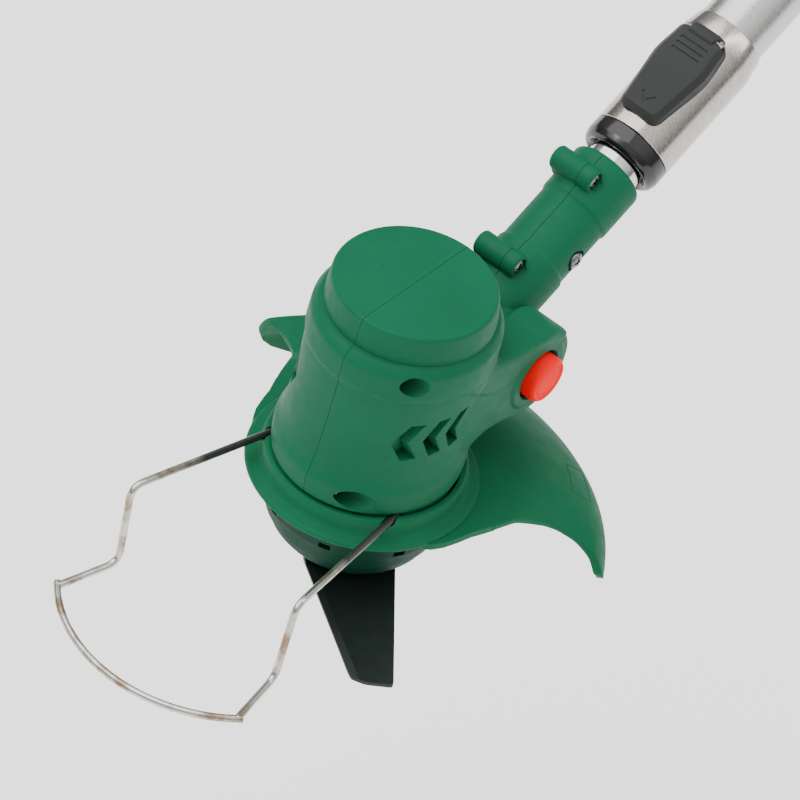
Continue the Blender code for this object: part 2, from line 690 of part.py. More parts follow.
def neck_half(side, parent):
    """Half of the clamshell that grips the inner tube; its knuckle turns on the tilt pin."""
    name = "neck_right" if side > 0 else "neck_left"
    profile = [(0, NECK_END), (NECK_R - 1.4, NECK_END), (NECK_R - 0.4, NECK_END - 0.5),
               (NECK_R, NECK_END - 1.6),
               (NECK_R, 58.0), (NECK_R - 0.5, 57.0), (NECK_R - 0.5, 34.0), (NECK_R, 33.0), (NECK_R, 0.0),
               (0, 0.0)]
    half = turned(name, profile, "green", parent, pole_matrix(), steps=20)
    knuckle = [(0, KNUCKLE_W - 0.1), (12.8, KNUCKLE_W - 0.1), (NECK_R - 0.3, KNUCKLE_W - 1.4),
               (NECK_R - 0.3, 1.4 - KNUCKLE_W), (12.8, 0.1 - KNUCKLE_W), (0, 0.1 - KNUCKLE_W)]
    solid = [turned(name + "_knuckle", knuckle, matrix=pole_cross(0, 0), steps=20)]
    hollow = [
        turned(name + "_bore", [(0, 90.0), (TUBE_R + GAP, 90.0), (TUBE_R + GAP, TUBE_START - GAP),
                                (0, TUBE_START - GAP)], matrix=pole_matrix(), steps=20),
        turned(name + "_pivot", [(0, 16.0), (6.6, 16.0), (6.6, 6.6), (PIN_R + RUN, 6.6),
                                 (PIN_R + RUN, -16.0), (0, -16.0)], matrix=pole_cross(0, 0), steps=20),
        cylinder(name + "_side_seat", 4.2, 12.4, 20.0, matrix=pole_cross(SIDE_SCREW_S, 0), steps=12),
        cylinder(name + "_side_hole", 1.8, 10.0, 20.0, matrix=pole_cross(SIDE_SCREW_S, 0), steps=10),
        other_side_box(name + "_parting", side)]
    for label, s, up in BOSSES:
        place = pole_cross(s, up)
        solid.append(turned(f"{name}_boss_{label}",
                            [(0, BOSS_RIGHT), (BOSS_R - 0.7, BOSS_RIGHT), (BOSS_R, BOSS_RIGHT - 0.7),
                             (BOSS_R, BOSS_LEFT + 0.7), (BOSS_R - 0.7, BOSS_LEFT), (0, BOSS_LEFT)],
                            matrix=place, steps=12))
        hollow.append(cylinder(f"{name}_bolt_{label}", 1.8, -10.0, 20.0, matrix=place, steps=10))
        hollow.append(cylinder(f"{name}_bolt_seat_{label}", 3.6, BOSS_RIGHT - 2.4, 20.0, matrix=place,
                               steps=10))
    join(half, *solid)
    cut(half, *hollow)
    return half


def neck(parent):
    for side in (1, -1):
        neck_half(side, parent)
    for label, s, up in BOSSES:
        pan_screw(f"neck_screw_{label}", "steel", parent, pole_cross(s, up, BOSS_RIGHT + 0.1),
                  length=14.5)
    pan_screw("neck_screw_side", "steel", parent, pole_cross(SIDE_SCREW_S, 0, 14.9), length=6.0)


# ---------------------------------------------------------------- pole and its lock
def telescopic_pole(inner):
    tube = ring("inner_tube", TUBE_R, TUBE_R - TUBE_WALL, TUBE_START, TUBE_END, "steel", inner,
                pole_matrix())
    cut(tube, cylinder("inner_tube_screw_hole", 1.9, 8.0, 14.0, matrix=pole_cross(SIDE_SCREW_S, 0),
                       steps=10))
    bush = [(TUBE_R + GAP, TUBE_END - 14), (TUBE_R + GAP, TUBE_END + GAP), (9.0, TUBE_END + GAP),
            (9.0, TUBE_END + 2.0), (OUTER_R - OUTER_WALL - 0.2, TUBE_END + 2.0),
            (OUTER_R - OUTER_WALL - 0.2, TUBE_END - 14)]
    turned("tube_bush", bush, "grey", inner, pole_matrix(), closed=True)
    ring("outer_tube", OUTER_R, OUTER_R - OUTER_WALL, OUTER_START, OUTER_END, "nickel", None,
         pole_matrix())
    collar = [(TUBE_R + 0.3, COLLAR_START + 2.2), (12.2, COLLAR_START + 0.2), (12.8, COLLAR_START),
              (14.2, COLLAR_START), (SLEEVE_R, COLLAR_START + 2.6), (SLEEVE_R, COLLAR_END),
              (13.2, COLLAR_END), (13.2, OUTER_START - GAP), (TUBE_R + 0.3, OUTER_START - GAP)]
    turned("sleeve_collar", list(reversed(collar)), "black", None, pole_matrix(), closed=True)
    sleeve = [(OUTER_R + GAP, SLEEVE_END), (OUTER_R + 0.9, SLEEVE_END), (SLEEVE_R, SLEEVE_END - 9.0),
              (SLEEVE_R, COLLAR_END + GAP), (OUTER_R + GAP, COLLAR_END + GAP)]
    shell = turned("lock_sleeve", sleeve, "nickel", None, pole_matrix(), steps=28, closed=True)
    window = rounded([(-7.0, 99.0), (7.0, 99.0), (7.0, 138.6), (-7.0, 138.6)], 1.0, 3)
    opening = plate("lock_sleeve_window", [window], 8.0, 20.0, matrix=lever_frame())
    cut(shell, opening)


def lever_frame():
    """Local X across the pole, local Y along it, local Z up and away from it."""
    origin = pole_point(0.0)
    angle = radians(POLE_ANGLE)
    return Matrix.Translation(origin) @ Matrix.Rotation(angle, 4, "X")


LEVER_PIVOT_S, LEVER_PIVOT_UP = 134.5, 17.8


def lock_lever(lever):
    """A cam lever lying on the sleeve; lifting its lower end frees the inner tube."""
    outline = rounded([(-8.3, 96.0), (8.3, 96.0), (11.6, 122.0), (9.6, 136.0), (-9.6, 136.0), (-11.6, 122.0)],
                      [1.6, 1.6, 4.0, 3.0, 3.0, 4.0], 4)
    top = [(x * 0.8, 99.2 + (s - 96.0) * 0.91) for x, s in outline]
    rings = [[(x, s, 12.6) for x, s in outline], [(x, s, 17.0) for x, s in outline],
             [(x, s, 19.8) for x, s in top]]
    plate_top = loft("lock_lever", rings, "black", lever, lever_frame())
    saddle = cylinder("lock_lever_saddle", SLEEVE_R + 0.6, 80.0, 160.0, matrix=pole_matrix(), steps=28)
    cut(plate_top, saddle)
    cam = cylinder("lock_lever_cam", 3.4, -5.4, 5.4, matrix=pole_cross(LEVER_PIVOT_S, 17.3), steps=12)
    cam_hole = cylinder("lock_lever_hole", 1.3, -14.0, 14.0,
                        matrix=pole_cross(LEVER_PIVOT_S, LEVER_PIVOT_UP), steps=10)
    join(plate_top, cam)
    cut(plate_top, cam_hole)
    cylinder("lever_pin", 1.2, -8.4, 8.4, "steel", lever,
             pole_cross(LEVER_PIVOT_S, LEVER_PIVOT_UP), steps=10)


# ---------------------------------------------------------------- rear handle
def handle_frame():
    """Local X along the pole, local Y up from it, local Z across it, towards the part's +X."""
    angle = radians(POLE_ANGLE)
    columns = ((0.0, cos(angle), sin(angle)), (0.0, -sin(angle), cos(angle)), (1.0, 0.0, 0.0))
    turn = Matrix([[columns[c][r] for c in range(3)] for r in range(3)]).to_4x4()
    return Matrix.Translation(pole_point(0.0)) @ turn


HANDLE_OUTER = (
    # along the pole, above it, corner radius
    (430.0, 20.0, 6.0), (462.0, 21.0, 12.0), (486.0, 28.0, 18.0), (536.0, 27.0, 22.0), (572.0, 15.0, 12.0),
    (592.0, 14.0, 6.0), (592.0, -62.0, 6.0), (562.0, -64.0, 9.0), (488.0, -58.0, 16.0), (460.0, -34.0, 14.0),
    (450.0, -23.0, 9.0), (430.0, -22.0, 6.0))
FINGER_GAP = (
    (482.0, -5.0, 8.0), (552.0, -7.0, 12.0), (560.0, -40.0, 12.0), (496.0, -40.0, 12.0), (482.0, -24.0, 8.0))


def rounded_from(table):
    return rounded([(a, b) for a, b, _ in table], [r for _, _, r in table], 3)


def handle_half(side):
    name = "handle_right" if side > 0 else "handle_left"
    shell = plate(name, [rounded_from(HANDLE_OUTER), rounded_from(FINGER_GAP)], -HANDLE_W, HANDLE_W,
                  "green", None, handle_frame())
    round_edges(shell, 4.0, 2, 50)
    inner = [(466.0, 15.0), (486.0, 22.5), (534.0, 21.5), (570.0, 9.5), (586.0, 9.0), (586.0, -54.0),
             (568.0, -56.0), (565.0, -1.5), (478.0, -1.5)]
    room = plate(name + "_room", [inner], 3.0 - HANDLE_W, HANDLE_W - 3.0, matrix=handle_frame())
    bore = cylinder(name + "_bore", OUTER_R + GAP, 420.0, OUTER_END + GAP, matrix=pole_matrix(), steps=24)
    trigger_gap = box(name + "_trigger_gap", (464.0, -9.0, -6.2), (506.0, 4.0, 6.2), matrix=handle_frame())
    front_gap = box(name + "_front_gap", (481.0, -16.0, -6.2), (486.0, -2.0, 6.2), matrix=handle_frame())
    lock_hole = cylinder(name + "_lock_hole", 4.6, -30.0, 30.0, matrix=pole_cross(LOCK_OFF_S, LOCK_OFF_UP),
                         steps=16)
    rear_gap = box(name + "_rear_gap", (584.0, -48.0, -12.0), (594.0, -7.0, 12.0), matrix=handle_frame())
    cut(shell, room, bore, trigger_gap, front_gap, lock_hole, rear_gap)
    posts = []
    holes = [other_side_box(name + "_parting", side)]
    for i, (s, up) in enumerate(HANDLE_SCREWS):
        place = pole_cross(s, up)
        if i > 0:
            posts.append(cylinder(f"{name}_post_{i}", 5.0, 2.0 - HANDLE_W, HANDLE_W - 2.0, matrix=place,
                                  steps=12))
        holes.append(cylinder(f"{name}_screw_hole_{i}", 1.8, -8.0, 40.0, matrix=place, steps=10))
        holes.append(cylinder(f"{name}_screw_seat_{i}", 3.5, HANDLE_W - 3.0, 40.0, matrix=place, steps=12))
    join(shell, *posts)
    cut(shell, *holes)
    return shell


HANDLE_SCREWS = ((444.0, -18.2), (530.0, 17.0), (577.0, 2.0))
LOCK_OFF_S, LOCK_OFF_UP = 478.0, 12.0


def trigger_lever(trigger):
    outline = rounded([(465.5, 1.0), (480.0, 1.0), (503.0, -2.2), (503.0, -7.0), (496.0, -15.0),
                       (488.0, -15.5), (483.0, -8.5), (466.0, -3.0)],
                      [1.0, 1.0, 1.5, 2.0, 3.0, 3.0, 3.0, 1.0], 3)
    hole = arc(TRIGGER_PIVOT_S, TRIGGER_PIVOT_UP, 1.6, 0, 330, 12)
    return plate("trigger", [outline, hole], -5.6, 5.6, "black", trigger, handle_frame())


def handle(trigger, lock_off):
    for side in (1, -1):
        handle_half(side)
    for i, (s, up) in enumerate(HANDLE_SCREWS):
        pan_screw(f"handle_screw_{i + 1}", "steel", None, pole_cross(s, up, HANDLE_W - 0.5),
                  length=20.0)
    trigger_lever(trigger)
    cylinder("trigger_pin", 1.3, -6.0, 6.0, "steel", None,
             pole_cross(TRIGGER_PIVOT_S, TRIGGER_PIVOT_UP), steps=10)
    box("trigger_switch", (487.0, 5.0, -6.0), (507.0, 17.0, 6.0), "black", None, handle_frame(), 0.6)
    profile = [(0, 20.4), (3.4, 20.4), (4.2, 19.6), (4.2, -19.6), (3.4, -20.4), (0, -20.4)]
    turned("lock_off_button", profile, "black", lock_off, pole_cross(LOCK_OFF_S, LOCK_OFF_UP), steps=16)


def battery_pack(battery, latch):
    """A slide-on pack behind the handle: a case with a tongue, its lid, the cells and a latch."""
    low, high = BATTERY_S
    frame = handle_frame()
    case = box("battery_case", (low + GAP, -64.0, -31.0), (high, -1.0, 31.0), "black", battery, frame)
    round_edges(case, 5.0, 2)
    join(case, box("battery_tongue", (573.5, -46.0, -11.0), (low + 4.0, -9.0, 11.0), matrix=frame))
    cut(case, box("battery_case_room", (low + 5.0, -60.0, -28.0), (high - 2.5, 1.0, 28.0), matrix=frame))
    lid = box("battery_lid", (low + GAP, -0.7, -31.0), (high, 11.0, 31.0), "grey", battery, frame)
    round_edges(lid, 4.0, 2)
    slot = ((low + 14.0, 1.0, -9.3), (low + 30.0, 14.0, 9.3))
    cut(lid, box("battery_latch_slot", *slot, matrix=frame))
    box("battery_latch", (low + 14.4, 4.6, -8.9), (low + 29.6, 12.6, 8.9), "red", latch, frame, 0.8)
    turn = Matrix.Rotation(radians(POLE_ANGLE), 4, "X")
    places = [Matrix.Translation(pole_point(low + 15.6 + row * 18.2, -30.0, (column - 1) * 18.2)) @ turn
              for row in range(2) for column in range(3)]
    cells = cylinder("battery_cells", 9.2, -28.0, 28.0, "grey", battery, places[0], steps=12)
    join(cells, *[cylinder(f"battery_cell_{i}", 9.2, -28.0 + 0.1 * (i % 2), 28.0 - 0.1 * (i % 2),
                           matrix=place, steps=12) for i, place in enumerate(places[1:], 2)])
    for side, name in ((1, "terminal_right"), (-1, "terminal_left")):
        centre = side * 5.0
        cut(case, box(name + "_slot", (570.0, -34.0, centre - 1.4), (590.0, -16.0, centre + 1.4),
                      matrix=frame))
        box(name, (568.8, -32.0, centre - 0.5), (584.0, -18.0, centre + 0.5), "copper", None, frame)


AUX_UP = 28.0


def auxiliary_handle(swing, knob):
    """A clamp round the outer tube, a bail that swings on it, and the bolt and knob that lock it."""
    clamp = ring("aux_clamp", 19.2, OUTER_R + GAP, AUX_S - 14, AUX_S + 14, "black", None, pole_matrix())
    lug = box("aux_clamp_lug", (-7.0, AUX_S - 9.0, 15.5), (7.0, AUX_S + 9.0, AUX_UP + 9.0),
              matrix=lever_frame())
    round_edges(lug, 3.0, 2)
    join(clamp, lug)
    axis = pole_cross(AUX_S, AUX_UP)
    cut(clamp, cylinder("aux_clamp_hole", 3.3, -20.0, 20.0, matrix=axis, steps=12),
        cylinder("aux_clamp_bore", OUTER_R + GAP + 0.02, AUX_S - 20, AUX_S + 20, matrix=pole_matrix(),
                 steps=24))
    half = [(13.6, 0.0, 3.0), (14.2, 0.0, 24.0), (54.0, 0.0, 52.0), (54.0, 0.0, 106.0)]
    path = smooth_path(half + [(-x, y, z) for x, y, z in reversed(half)], 22.0, 5)
    frame = Matrix.Translation(pole_point(AUX_S, AUX_UP)) @ Matrix.Rotation(radians(POLE_ANGLE), 4, "X")
    bail = rod("aux_handle", path, 6.2, "black", swing, frame, resolution=1)
    join(bail, *[cylinder(f"aux_handle_eye_{side}", 9.0, *sorted((side * 7.5, side * 18.5)),
                          matrix=axis, steps=16) for side in (1, -1)])
    cut(bail, cylinder("aux_handle_hole", 3.3, -40.0, 40.0, matrix=axis, steps=12))
    bolt = [(0, 31.8), (3.0, 31.8), (3.0, -20.3), (6.0, -20.3), (6.0, -24.3), (0, -24.3)]
    turned("aux_bolt", bolt, "steel", knob, axis, steps=12)
    lobes = []
    for i in range(30):
        angle = radians(i * 12)
        radius = 12.4 + 1.5 * cos(5 * angle)
        lobes.append((radius * cos(angle), radius * sin(angle)))
    grip = plate("aux_knob", [lobes], 20.2, 34.8, "black", knob, axis)
    cut(grip, cylinder("aux_knob_hole", 3.3, 18.0, 32.2, matrix=axis, steps=12))


def main():
    start_scene()
    telescope = joint_empty("telescope_axis", 0, PIN_Y, PIN_Z)
    tilt = joint_empty("tilt_axis", 0, PIN_Y, PIN_Z, telescope)
    rotor = joint_empty("rotor_axis", 0, 0, 0, tilt)
    button = joint_empty("tilt_button_axis", BUTTON_OUT, PIN_Y, PIN_Z, tilt)
    lever = joint_empty("lever_axis", *(pole_point(LEVER_PIVOT_S, LEVER_PIVOT_UP) / MM))
    swing = joint_empty("aux_handle_axis", *(pole_point(AUX_S, AUX_UP) / MM))
    knob = joint_empty("aux_knob_axis", *(pole_point(AUX_S, AUX_UP, 30.0) / MM))
    trigger = joint_empty("trigger_axis", *(pole_point(TRIGGER_PIVOT_S, TRIGGER_PIVOT_UP) / MM))
    lock_off = joint_empty("lock_off_axis", *(pole_point(LOCK_OFF_S, LOCK_OFF_UP) / MM))
    battery = joint_empty("battery_axis", *(pole_point(BATTERY_S[0], -30.0) / MM))
    latch = joint_empty("latch_axis", *(pole_point(BATTERY_S[0] + 22.0, 12.0) / MM), battery)
    for side in (1, -1):
        housing_half(side, tilt)
    for label, y, z, _ in HOUSING_SCREWS:
        pan_screw("housing_screw_" + label, "steel", tilt, along_x(HOUSING_SEAT + 2.5, y, z), length=19.0)
    motor(tilt, rotor)
    cooling_fan(rotor)
    lower_bowl(tilt)
    guard(tilt)
    cutting_set(rotor)
    edge_guard(tilt)
    tilt_parts(tilt, telescope, button)
    neck(telescope)
    telescopic_pole(telescope)
    lock_lever(lever)
    handle(trigger, lock_off)
    battery_pack(battery, latch)
    auxiliary_handle(swing, knob)


main()
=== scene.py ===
"""Looks of the cordless string trimmer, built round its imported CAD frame.

Lengths are in millimetres, which MM turns into metres; only textures and lamps are in metres. The
frame is the CAD one: +Z is the motor axis, -Y the front, +X the tilt button's side, and the origin
is the blade nut's lower face. Along the pole, "s" is the distance from the tilt pin and "up" is
square to the pole, away from the ground.
"""
from math import cos, pi, radians, sin

import bmesh
import bpy
import numpy as np
from mathutils import Matrix, Vector


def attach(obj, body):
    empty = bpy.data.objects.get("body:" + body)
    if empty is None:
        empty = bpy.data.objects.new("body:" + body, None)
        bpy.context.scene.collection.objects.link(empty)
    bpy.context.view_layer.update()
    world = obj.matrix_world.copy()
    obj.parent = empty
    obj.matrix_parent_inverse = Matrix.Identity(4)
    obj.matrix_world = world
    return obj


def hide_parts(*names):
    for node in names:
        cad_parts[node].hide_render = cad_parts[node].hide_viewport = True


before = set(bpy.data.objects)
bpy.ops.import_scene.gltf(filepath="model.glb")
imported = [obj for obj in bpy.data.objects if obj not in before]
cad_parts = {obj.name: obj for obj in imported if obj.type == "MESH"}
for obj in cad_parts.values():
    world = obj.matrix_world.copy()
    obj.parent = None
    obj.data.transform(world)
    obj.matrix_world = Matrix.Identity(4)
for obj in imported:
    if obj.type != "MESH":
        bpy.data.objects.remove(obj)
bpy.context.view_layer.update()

MM = 0.001
PIN_Y, PIN_Z = 49.9, 77.0      # the tilt pin
POLE_ANGLE = radians(26.94)      # the pole's rise above level
EAR_IN, EAR_OUT, EAR_R = 15.2, 32.0, 18.0   # an arm's inner face, outer face and end radius
BAND = 0.75      # how far the casing's upper band stands proud
WIRE_R, WIRE_HOLE_R = 1.38, 1.9
BOWL_SCREW_X = 25.4
BLADE_ANGLE = radians(-43.4)
NECK_R, NECK_END = 14.3, 78.0
TUBE_R, OUTER_R, SLEEVE_R = 10.9, 13.5, 16.0
TUBE_WALL = 1.2
INNER_START, INNER_END = 26.0, 372.0
OUTER_START, OUTER_END = 98.0, 470.0
COLLAR_START, COLLAR_END = 82.0, 90.5
SLEEVE_END = 146.0
LEVER_AXLE = (134.5, 17.8)      # s and up
TRIGGER_AXLE = (469.5, -0.8)
LOCK_OFF = (478.0, 12.0)
BATTERY_START, BATTERY_END = 592.0, 640.0
CLAMP_S, CLAMP_UP = 356.0, 28.0      # the front handle's bolt
FLOOR_Z = -260.0      # clear of the head at its lowest pose
RIGHT, LEFT = 1, -1
SIDES = ((RIGHT, "right"), (LEFT, "left"))


# ---------------------------------------------------------------- places
def pole_point(s, up=0.0, x=0.0):
    """A point by its place along the pole and above it."""
    y = PIN_Y + s * cos(POLE_ANGLE) - up * sin(POLE_ANGLE)
    z = PIN_Z + s * sin(POLE_ANGLE) + up * cos(POLE_ANGLE)
    return Vector((x, y, z))


def pole_matrix(s=0.0, up=0.0, x=0.0):
    """Local +Z along the pole, local -Y up from it."""
    return Matrix.Translation(pole_point(s, up, x)) @ Matrix.Rotation(POLE_ANGLE - pi / 2, 4, "X")


def pole_deck(s=0.0, up=0.0, x=0.0):
    """Local X across the pole, local Y along it, local Z up from it."""
    return Matrix.Translation(pole_point(s, up, x)) @ Matrix.Rotation(POLE_ANGLE, 4, "X")


def across(y, z, x=0.0):
    """Local +Z along world +X."""
    return Matrix.Translation((x, y, z)) @ Matrix.Rotation(pi / 2, 4, "Y")


def pole_cross(s, up, x=0.0):
    """Local +Z along world +X, from a point of the pole."""
    _, y, z = pole_point(s, up)
    return across(y, z, x)


def side_frame():
    """Local X along the pole, local Y up from it, local Z towards world +X."""
    along = Vector((0, cos(POLE_ANGLE), sin(POLE_ANGLE)))
    up = Vector((0, -sin(POLE_ANGLE), cos(POLE_ANGLE)))
    turn = Matrix((along, up, Vector((1, 0, 0)))).transposed().to_4x4()
    return Matrix.Translation(pole_point(0)) @ turn


def linked(name, data):
    """A new object in the scene."""
    obj = bpy.data.objects.new(name, data)
    bpy.context.scene.collection.objects.link(obj)
    return obj


# ---------------------------------------------------------------- meshes, in millimetres
def finished(bm, matrix=None, sharp=30.0):
    """A metre-sized mesh of a bmesh in millimetres."""
    if matrix is not None:
        bm.transform(matrix)
    bm.transform(Matrix.Scale(MM, 4))
    bmesh.ops.recalc_face_normals(bm, faces=bm.faces)
    mesh = bpy.data.meshes.new("mesh")
    bm.to_mesh(mesh)
    bm.free()
    mesh.shade_smooth()
    mesh.set_sharp_from_angle(angle=radians(sharp))
    return mesh


def curve(start, corner, end, count):
    """Points of a parabola from start to end that is pulled towards the corner."""
    shares = [i / (count - 1) for i in range(count)]
    return [start * (1 - t) ** 2 + corner * 2 * t * (1 - t) + end * t ** 2 for t in shares]


def soften(points, reach, count=4, closed=False):
    """A polyline, in any number of dimensions, with its corners rounded.

    normalized() leaves the fourth number of a vector as it is, so lengths are divided out here.
    """
    points = [Vector(p) for p in points]
    if closed:
        corners = list(zip(points[-1:] + points[:-1], points, points[1:] + points[:1]))
        path = []
    else:
        corners = list(zip(points, points[1:], points[2:]))
        path = [points[0]]
    for before, corner, after in corners:
        size = min(reach, 0.45 * (before - corner).length, 0.45 * (after - corner).length)
        start = corner + (before - corner) * (size / (before - corner).length)
        end = corner + (after - corner) * (size / (after - corner).length)
        path += curve(start, corner, end, count)
    if not closed:
        path.append(points[-1])
    return path


def arc(cx, cy, radius, start, end, count):
    """Points of an arc between two angles in degrees."""
    angles = [radians(start + (end - start) * i / (count - 1)) for i in range(count)]
    return [(cx + radius * cos(a), cy + radius * sin(a)) for a in angles]


def skin(rows, matrix=None, wrap=False, sharp=30.0):
    """Skin a stack of closed rings; wrap joins the last to the first, otherwise the ends are capped."""
    bm = bmesh.new()
    verts = [[bm.verts.new(p) for p in row] for row in rows]
    pairs = list(zip(verts, verts[1:]))
    if wrap:
        pairs.append((verts[-1], verts[0]))
    count = len(rows[0])
    for low, high in pairs:
        for i in range(count):
            j = (i + 1) % count
            bm.faces.new((low[i], low[j], high[j], high[i]))
    if not wrap:
        bm.faces.new(verts[0])
        bm.faces.new(verts[-1])
    return finished(bm, matrix, sharp)


def turned(profile, matrix=None, fillet=0.4, steps=96, closed=False, sharp=30.0):
    """Spin a profile of (radius, height) about local Z."""
    path = soften(profile, fillet, closed=closed) if fillet else [Vector(p) for p in profile]
    rows = [[(max(r, 0.01) * cos(2 * pi * i / steps), max(r, 0.01) * sin(2 * pi * i / steps), z)
             for i in range(steps)] for r, z in path]
    return skin(rows, matrix, closed, sharp)


def rod(radius, start, end, matrix=None, fillet=0, steps=96):
    """A plain cylinder along local Z."""
    return turned([(0, start), (radius, start), (radius, end), (0, end)], matrix, fillet, steps)


def slab(outline, low, high, matrix=None, fillet=0.0, holes=(), sharp=30.0):
    """A flat outline with holes, between two heights, with its edges bevelled."""
    bm = bmesh.new()
    edges = []
    for ring in [outline, *holes]:
        verts = [bm.verts.new((x, y, low)) for x, y in ring]
        edges += [bm.edges.new((verts[i], verts[(i + 1) % len(verts)])) for i in range(len(verts))]
    faces = bmesh.ops.triangle_fill(bm, use_beauty=True, use_dissolve=False, edges=edges)["geom"]
    faces = [f for f in faces if isinstance(f, bmesh.types.BMFace)]
    top = bmesh.ops.extrude_face_region(bm, geom=faces)["geom"]
    raised = [v for v in top if isinstance(v, bmesh.types.BMVert)]
    bmesh.ops.translate(bm, vec=(0, 0, high - low), verts=raised)
    bmesh.ops.recalc_face_normals(bm, faces=bm.faces)
    if fillet:
        rim = [e for e in bm.edges if len(e.link_faces) == 2 and e.calc_face_angle(0) > radians(50)
               and abs(e.verts[0].co.z - e.verts[1].co.z) < 0.001]
        bmesh.ops.bevel(bm, geom=rim, offset=fillet, segments=4, profile=0.5, affect="EDGES")
    return finished(bm, matrix, sharp)


def block(low, high, matrix=None, fillet=0.5, segments=3):
    """A box between two corners, with rounded edges."""
    bm = bmesh.new()
    bmesh.ops.create_cube(bm, size=1.0)
    middle = (Vector(low) + Vector(high)) / 2
    size = Vector(high) - Vector(low)
    for vert in bm.verts:
        vert.co = middle + Vector([vert.co[i] * size[i] for i in range(3)])
    if fillet:
        bmesh.ops.bevel(bm, geom=list(bm.edges), offset=fillet, segments=segments, profile=0.5,
                        affect="EDGES")
    return finished(bm, matrix, 35.0)


def tube(path, radius, matrix=None, sides=16, cyclic=False):
    """A round bar along a path, with rings that don't twist."""
    path = [Vector(p) for p in path]
    count = len(path)
    rows = []
    side = None
    for i, here in enumerate(path):
        after = path[(i + 1) % count] if cyclic or i < count - 1 else here
        before = path[i - 1] if cyclic or i > 0 else here
        along = (after - before).normalized()
        if side is None:
            side = along.orthogonal().normalized()
        side = (side - along * side.dot(along)).normalized()
        other = along.cross(side)
        turns = [2 * pi * k / sides for k in range(sides)]
        rows.append([here + side * radius * cos(a) + other * radius * sin(a) for a in turns])
    return skin(rows, matrix, cyclic)


def applied(mesh, *recipes):
    """The mesh after modifiers, each given as (type, {setting: value})."""
    obj = linked("work", mesh)
    for kind, settings in recipes:
        modifier = obj.modifiers.new(kind.lower(), kind)
        for key, value in settings.items():
            setattr(modifier, key, value)
    graph = bpy.context.evaluated_depsgraph_get()
    result = bpy.data.meshes.new_from_object(obj.evaluated_get(graph))
    bpy.data.objects.remove(obj)
    return result


def carved(mesh, tools, operation="DIFFERENCE", sharp=30.0):
    """Cut or join other meshes, one at a time."""
    helpers = []
    recipes = []
    for tool in tools:
        helpers.append(linked("tool", tool))
        recipes.append(("BOOLEAN", {"operation": operation, "solver": "MANIFOLD", "object": helpers[-1]}))
    result = applied(mesh, *recipes)
    for helper in helpers:
        bpy.data.objects.remove(helper)
    result.shade_smooth()
    result.set_sharp_from_angle(angle=radians(sharp))
    return result


def melted(meshes, voxel, rounds=3, weight=None, weighted_rounds=22):
    """Overlapping closed meshes as one even skin, smoothed all over and more where weight says."""
    bm = bmesh.new()
    for mesh in meshes:
        bm.from_mesh(mesh)
    joined = bpy.data.meshes.new("joined")
    bm.to_mesh(joined)
    bm.free()
    result = applied(joined, ("REMESH", {"mode": "VOXEL", "voxel_size": voxel * MM, "adaptivity": 0.0}))
    relax(result, rounds, None)
    if weight is not None:
        relax(result, weighted_rounds, weight)
    result.shade_smooth()
    return result


def positions(mesh):
    """Vertex positions in metres, one row for each."""
    points = np.empty(len(mesh.vertices) * 3)
    mesh.vertices.foreach_get("co", points)
    return points.reshape(-1, 3)


def relax(mesh, rounds, weight):
    """Laplacian smoothing; weight maps an array of points in millimetres to 0..1."""
    points = positions(mesh)
    pairs = np.empty(len(mesh.edges) * 2, dtype=np.int64)
    mesh.edges.foreach_get("vertices", pairs)
    a, b = pairs.reshape(-1, 2).T
    total = np.bincount(a, minlength=len(points)) + np.bincount(b, minlength=len(points))
    total = np.maximum(total, 1)[:, None]
    share = np.full((len(points), 1), 0.5)
    if weight is not None:
        share = 0.5 * weight(points / MM)[:, None]
    for _ in range(rounds):
        sums = [np.bincount(a, points[b, k], len(points)) + np.bincount(b, points[a, k], len(points))
                for k in range(3)]
        mean = np.stack(sums, axis=1) / total
        points = points + (mean - points) * share
    mesh.vertices.foreach_set("co", points.ravel())
    mesh.update()


def pushed(mesh, distance):
    """Move each vertex along its normal by distance(points), in millimetres."""
    points = positions(mesh)
    normals = np.empty(len(mesh.vertices) * 3)
    mesh.vertices.foreach_get("normal", normals)
    points += normals.reshape(-1, 3) * distance(points / MM)[:, None] * MM
    mesh.vertices.foreach_set("co", points.ravel())
    mesh.update()
    return mesh


def step(value, width):
    """0 below zero, 1 above width, smooth between."""
    t = np.clip(value / width, 0, 1)
    return t * t * (3 - 2 * t)


def show(name, mesh, material, body, *nodes, slot=None):
    """Put a finished mesh in the scene on its body, in place of CAD nodes."""
    obj = linked(name, mesh)
    mesh.name = name
    mesh.materials.clear()
    mesh.materials.append(material)
    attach(obj, body)
    if nodes:
        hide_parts(*nodes)
    return obj


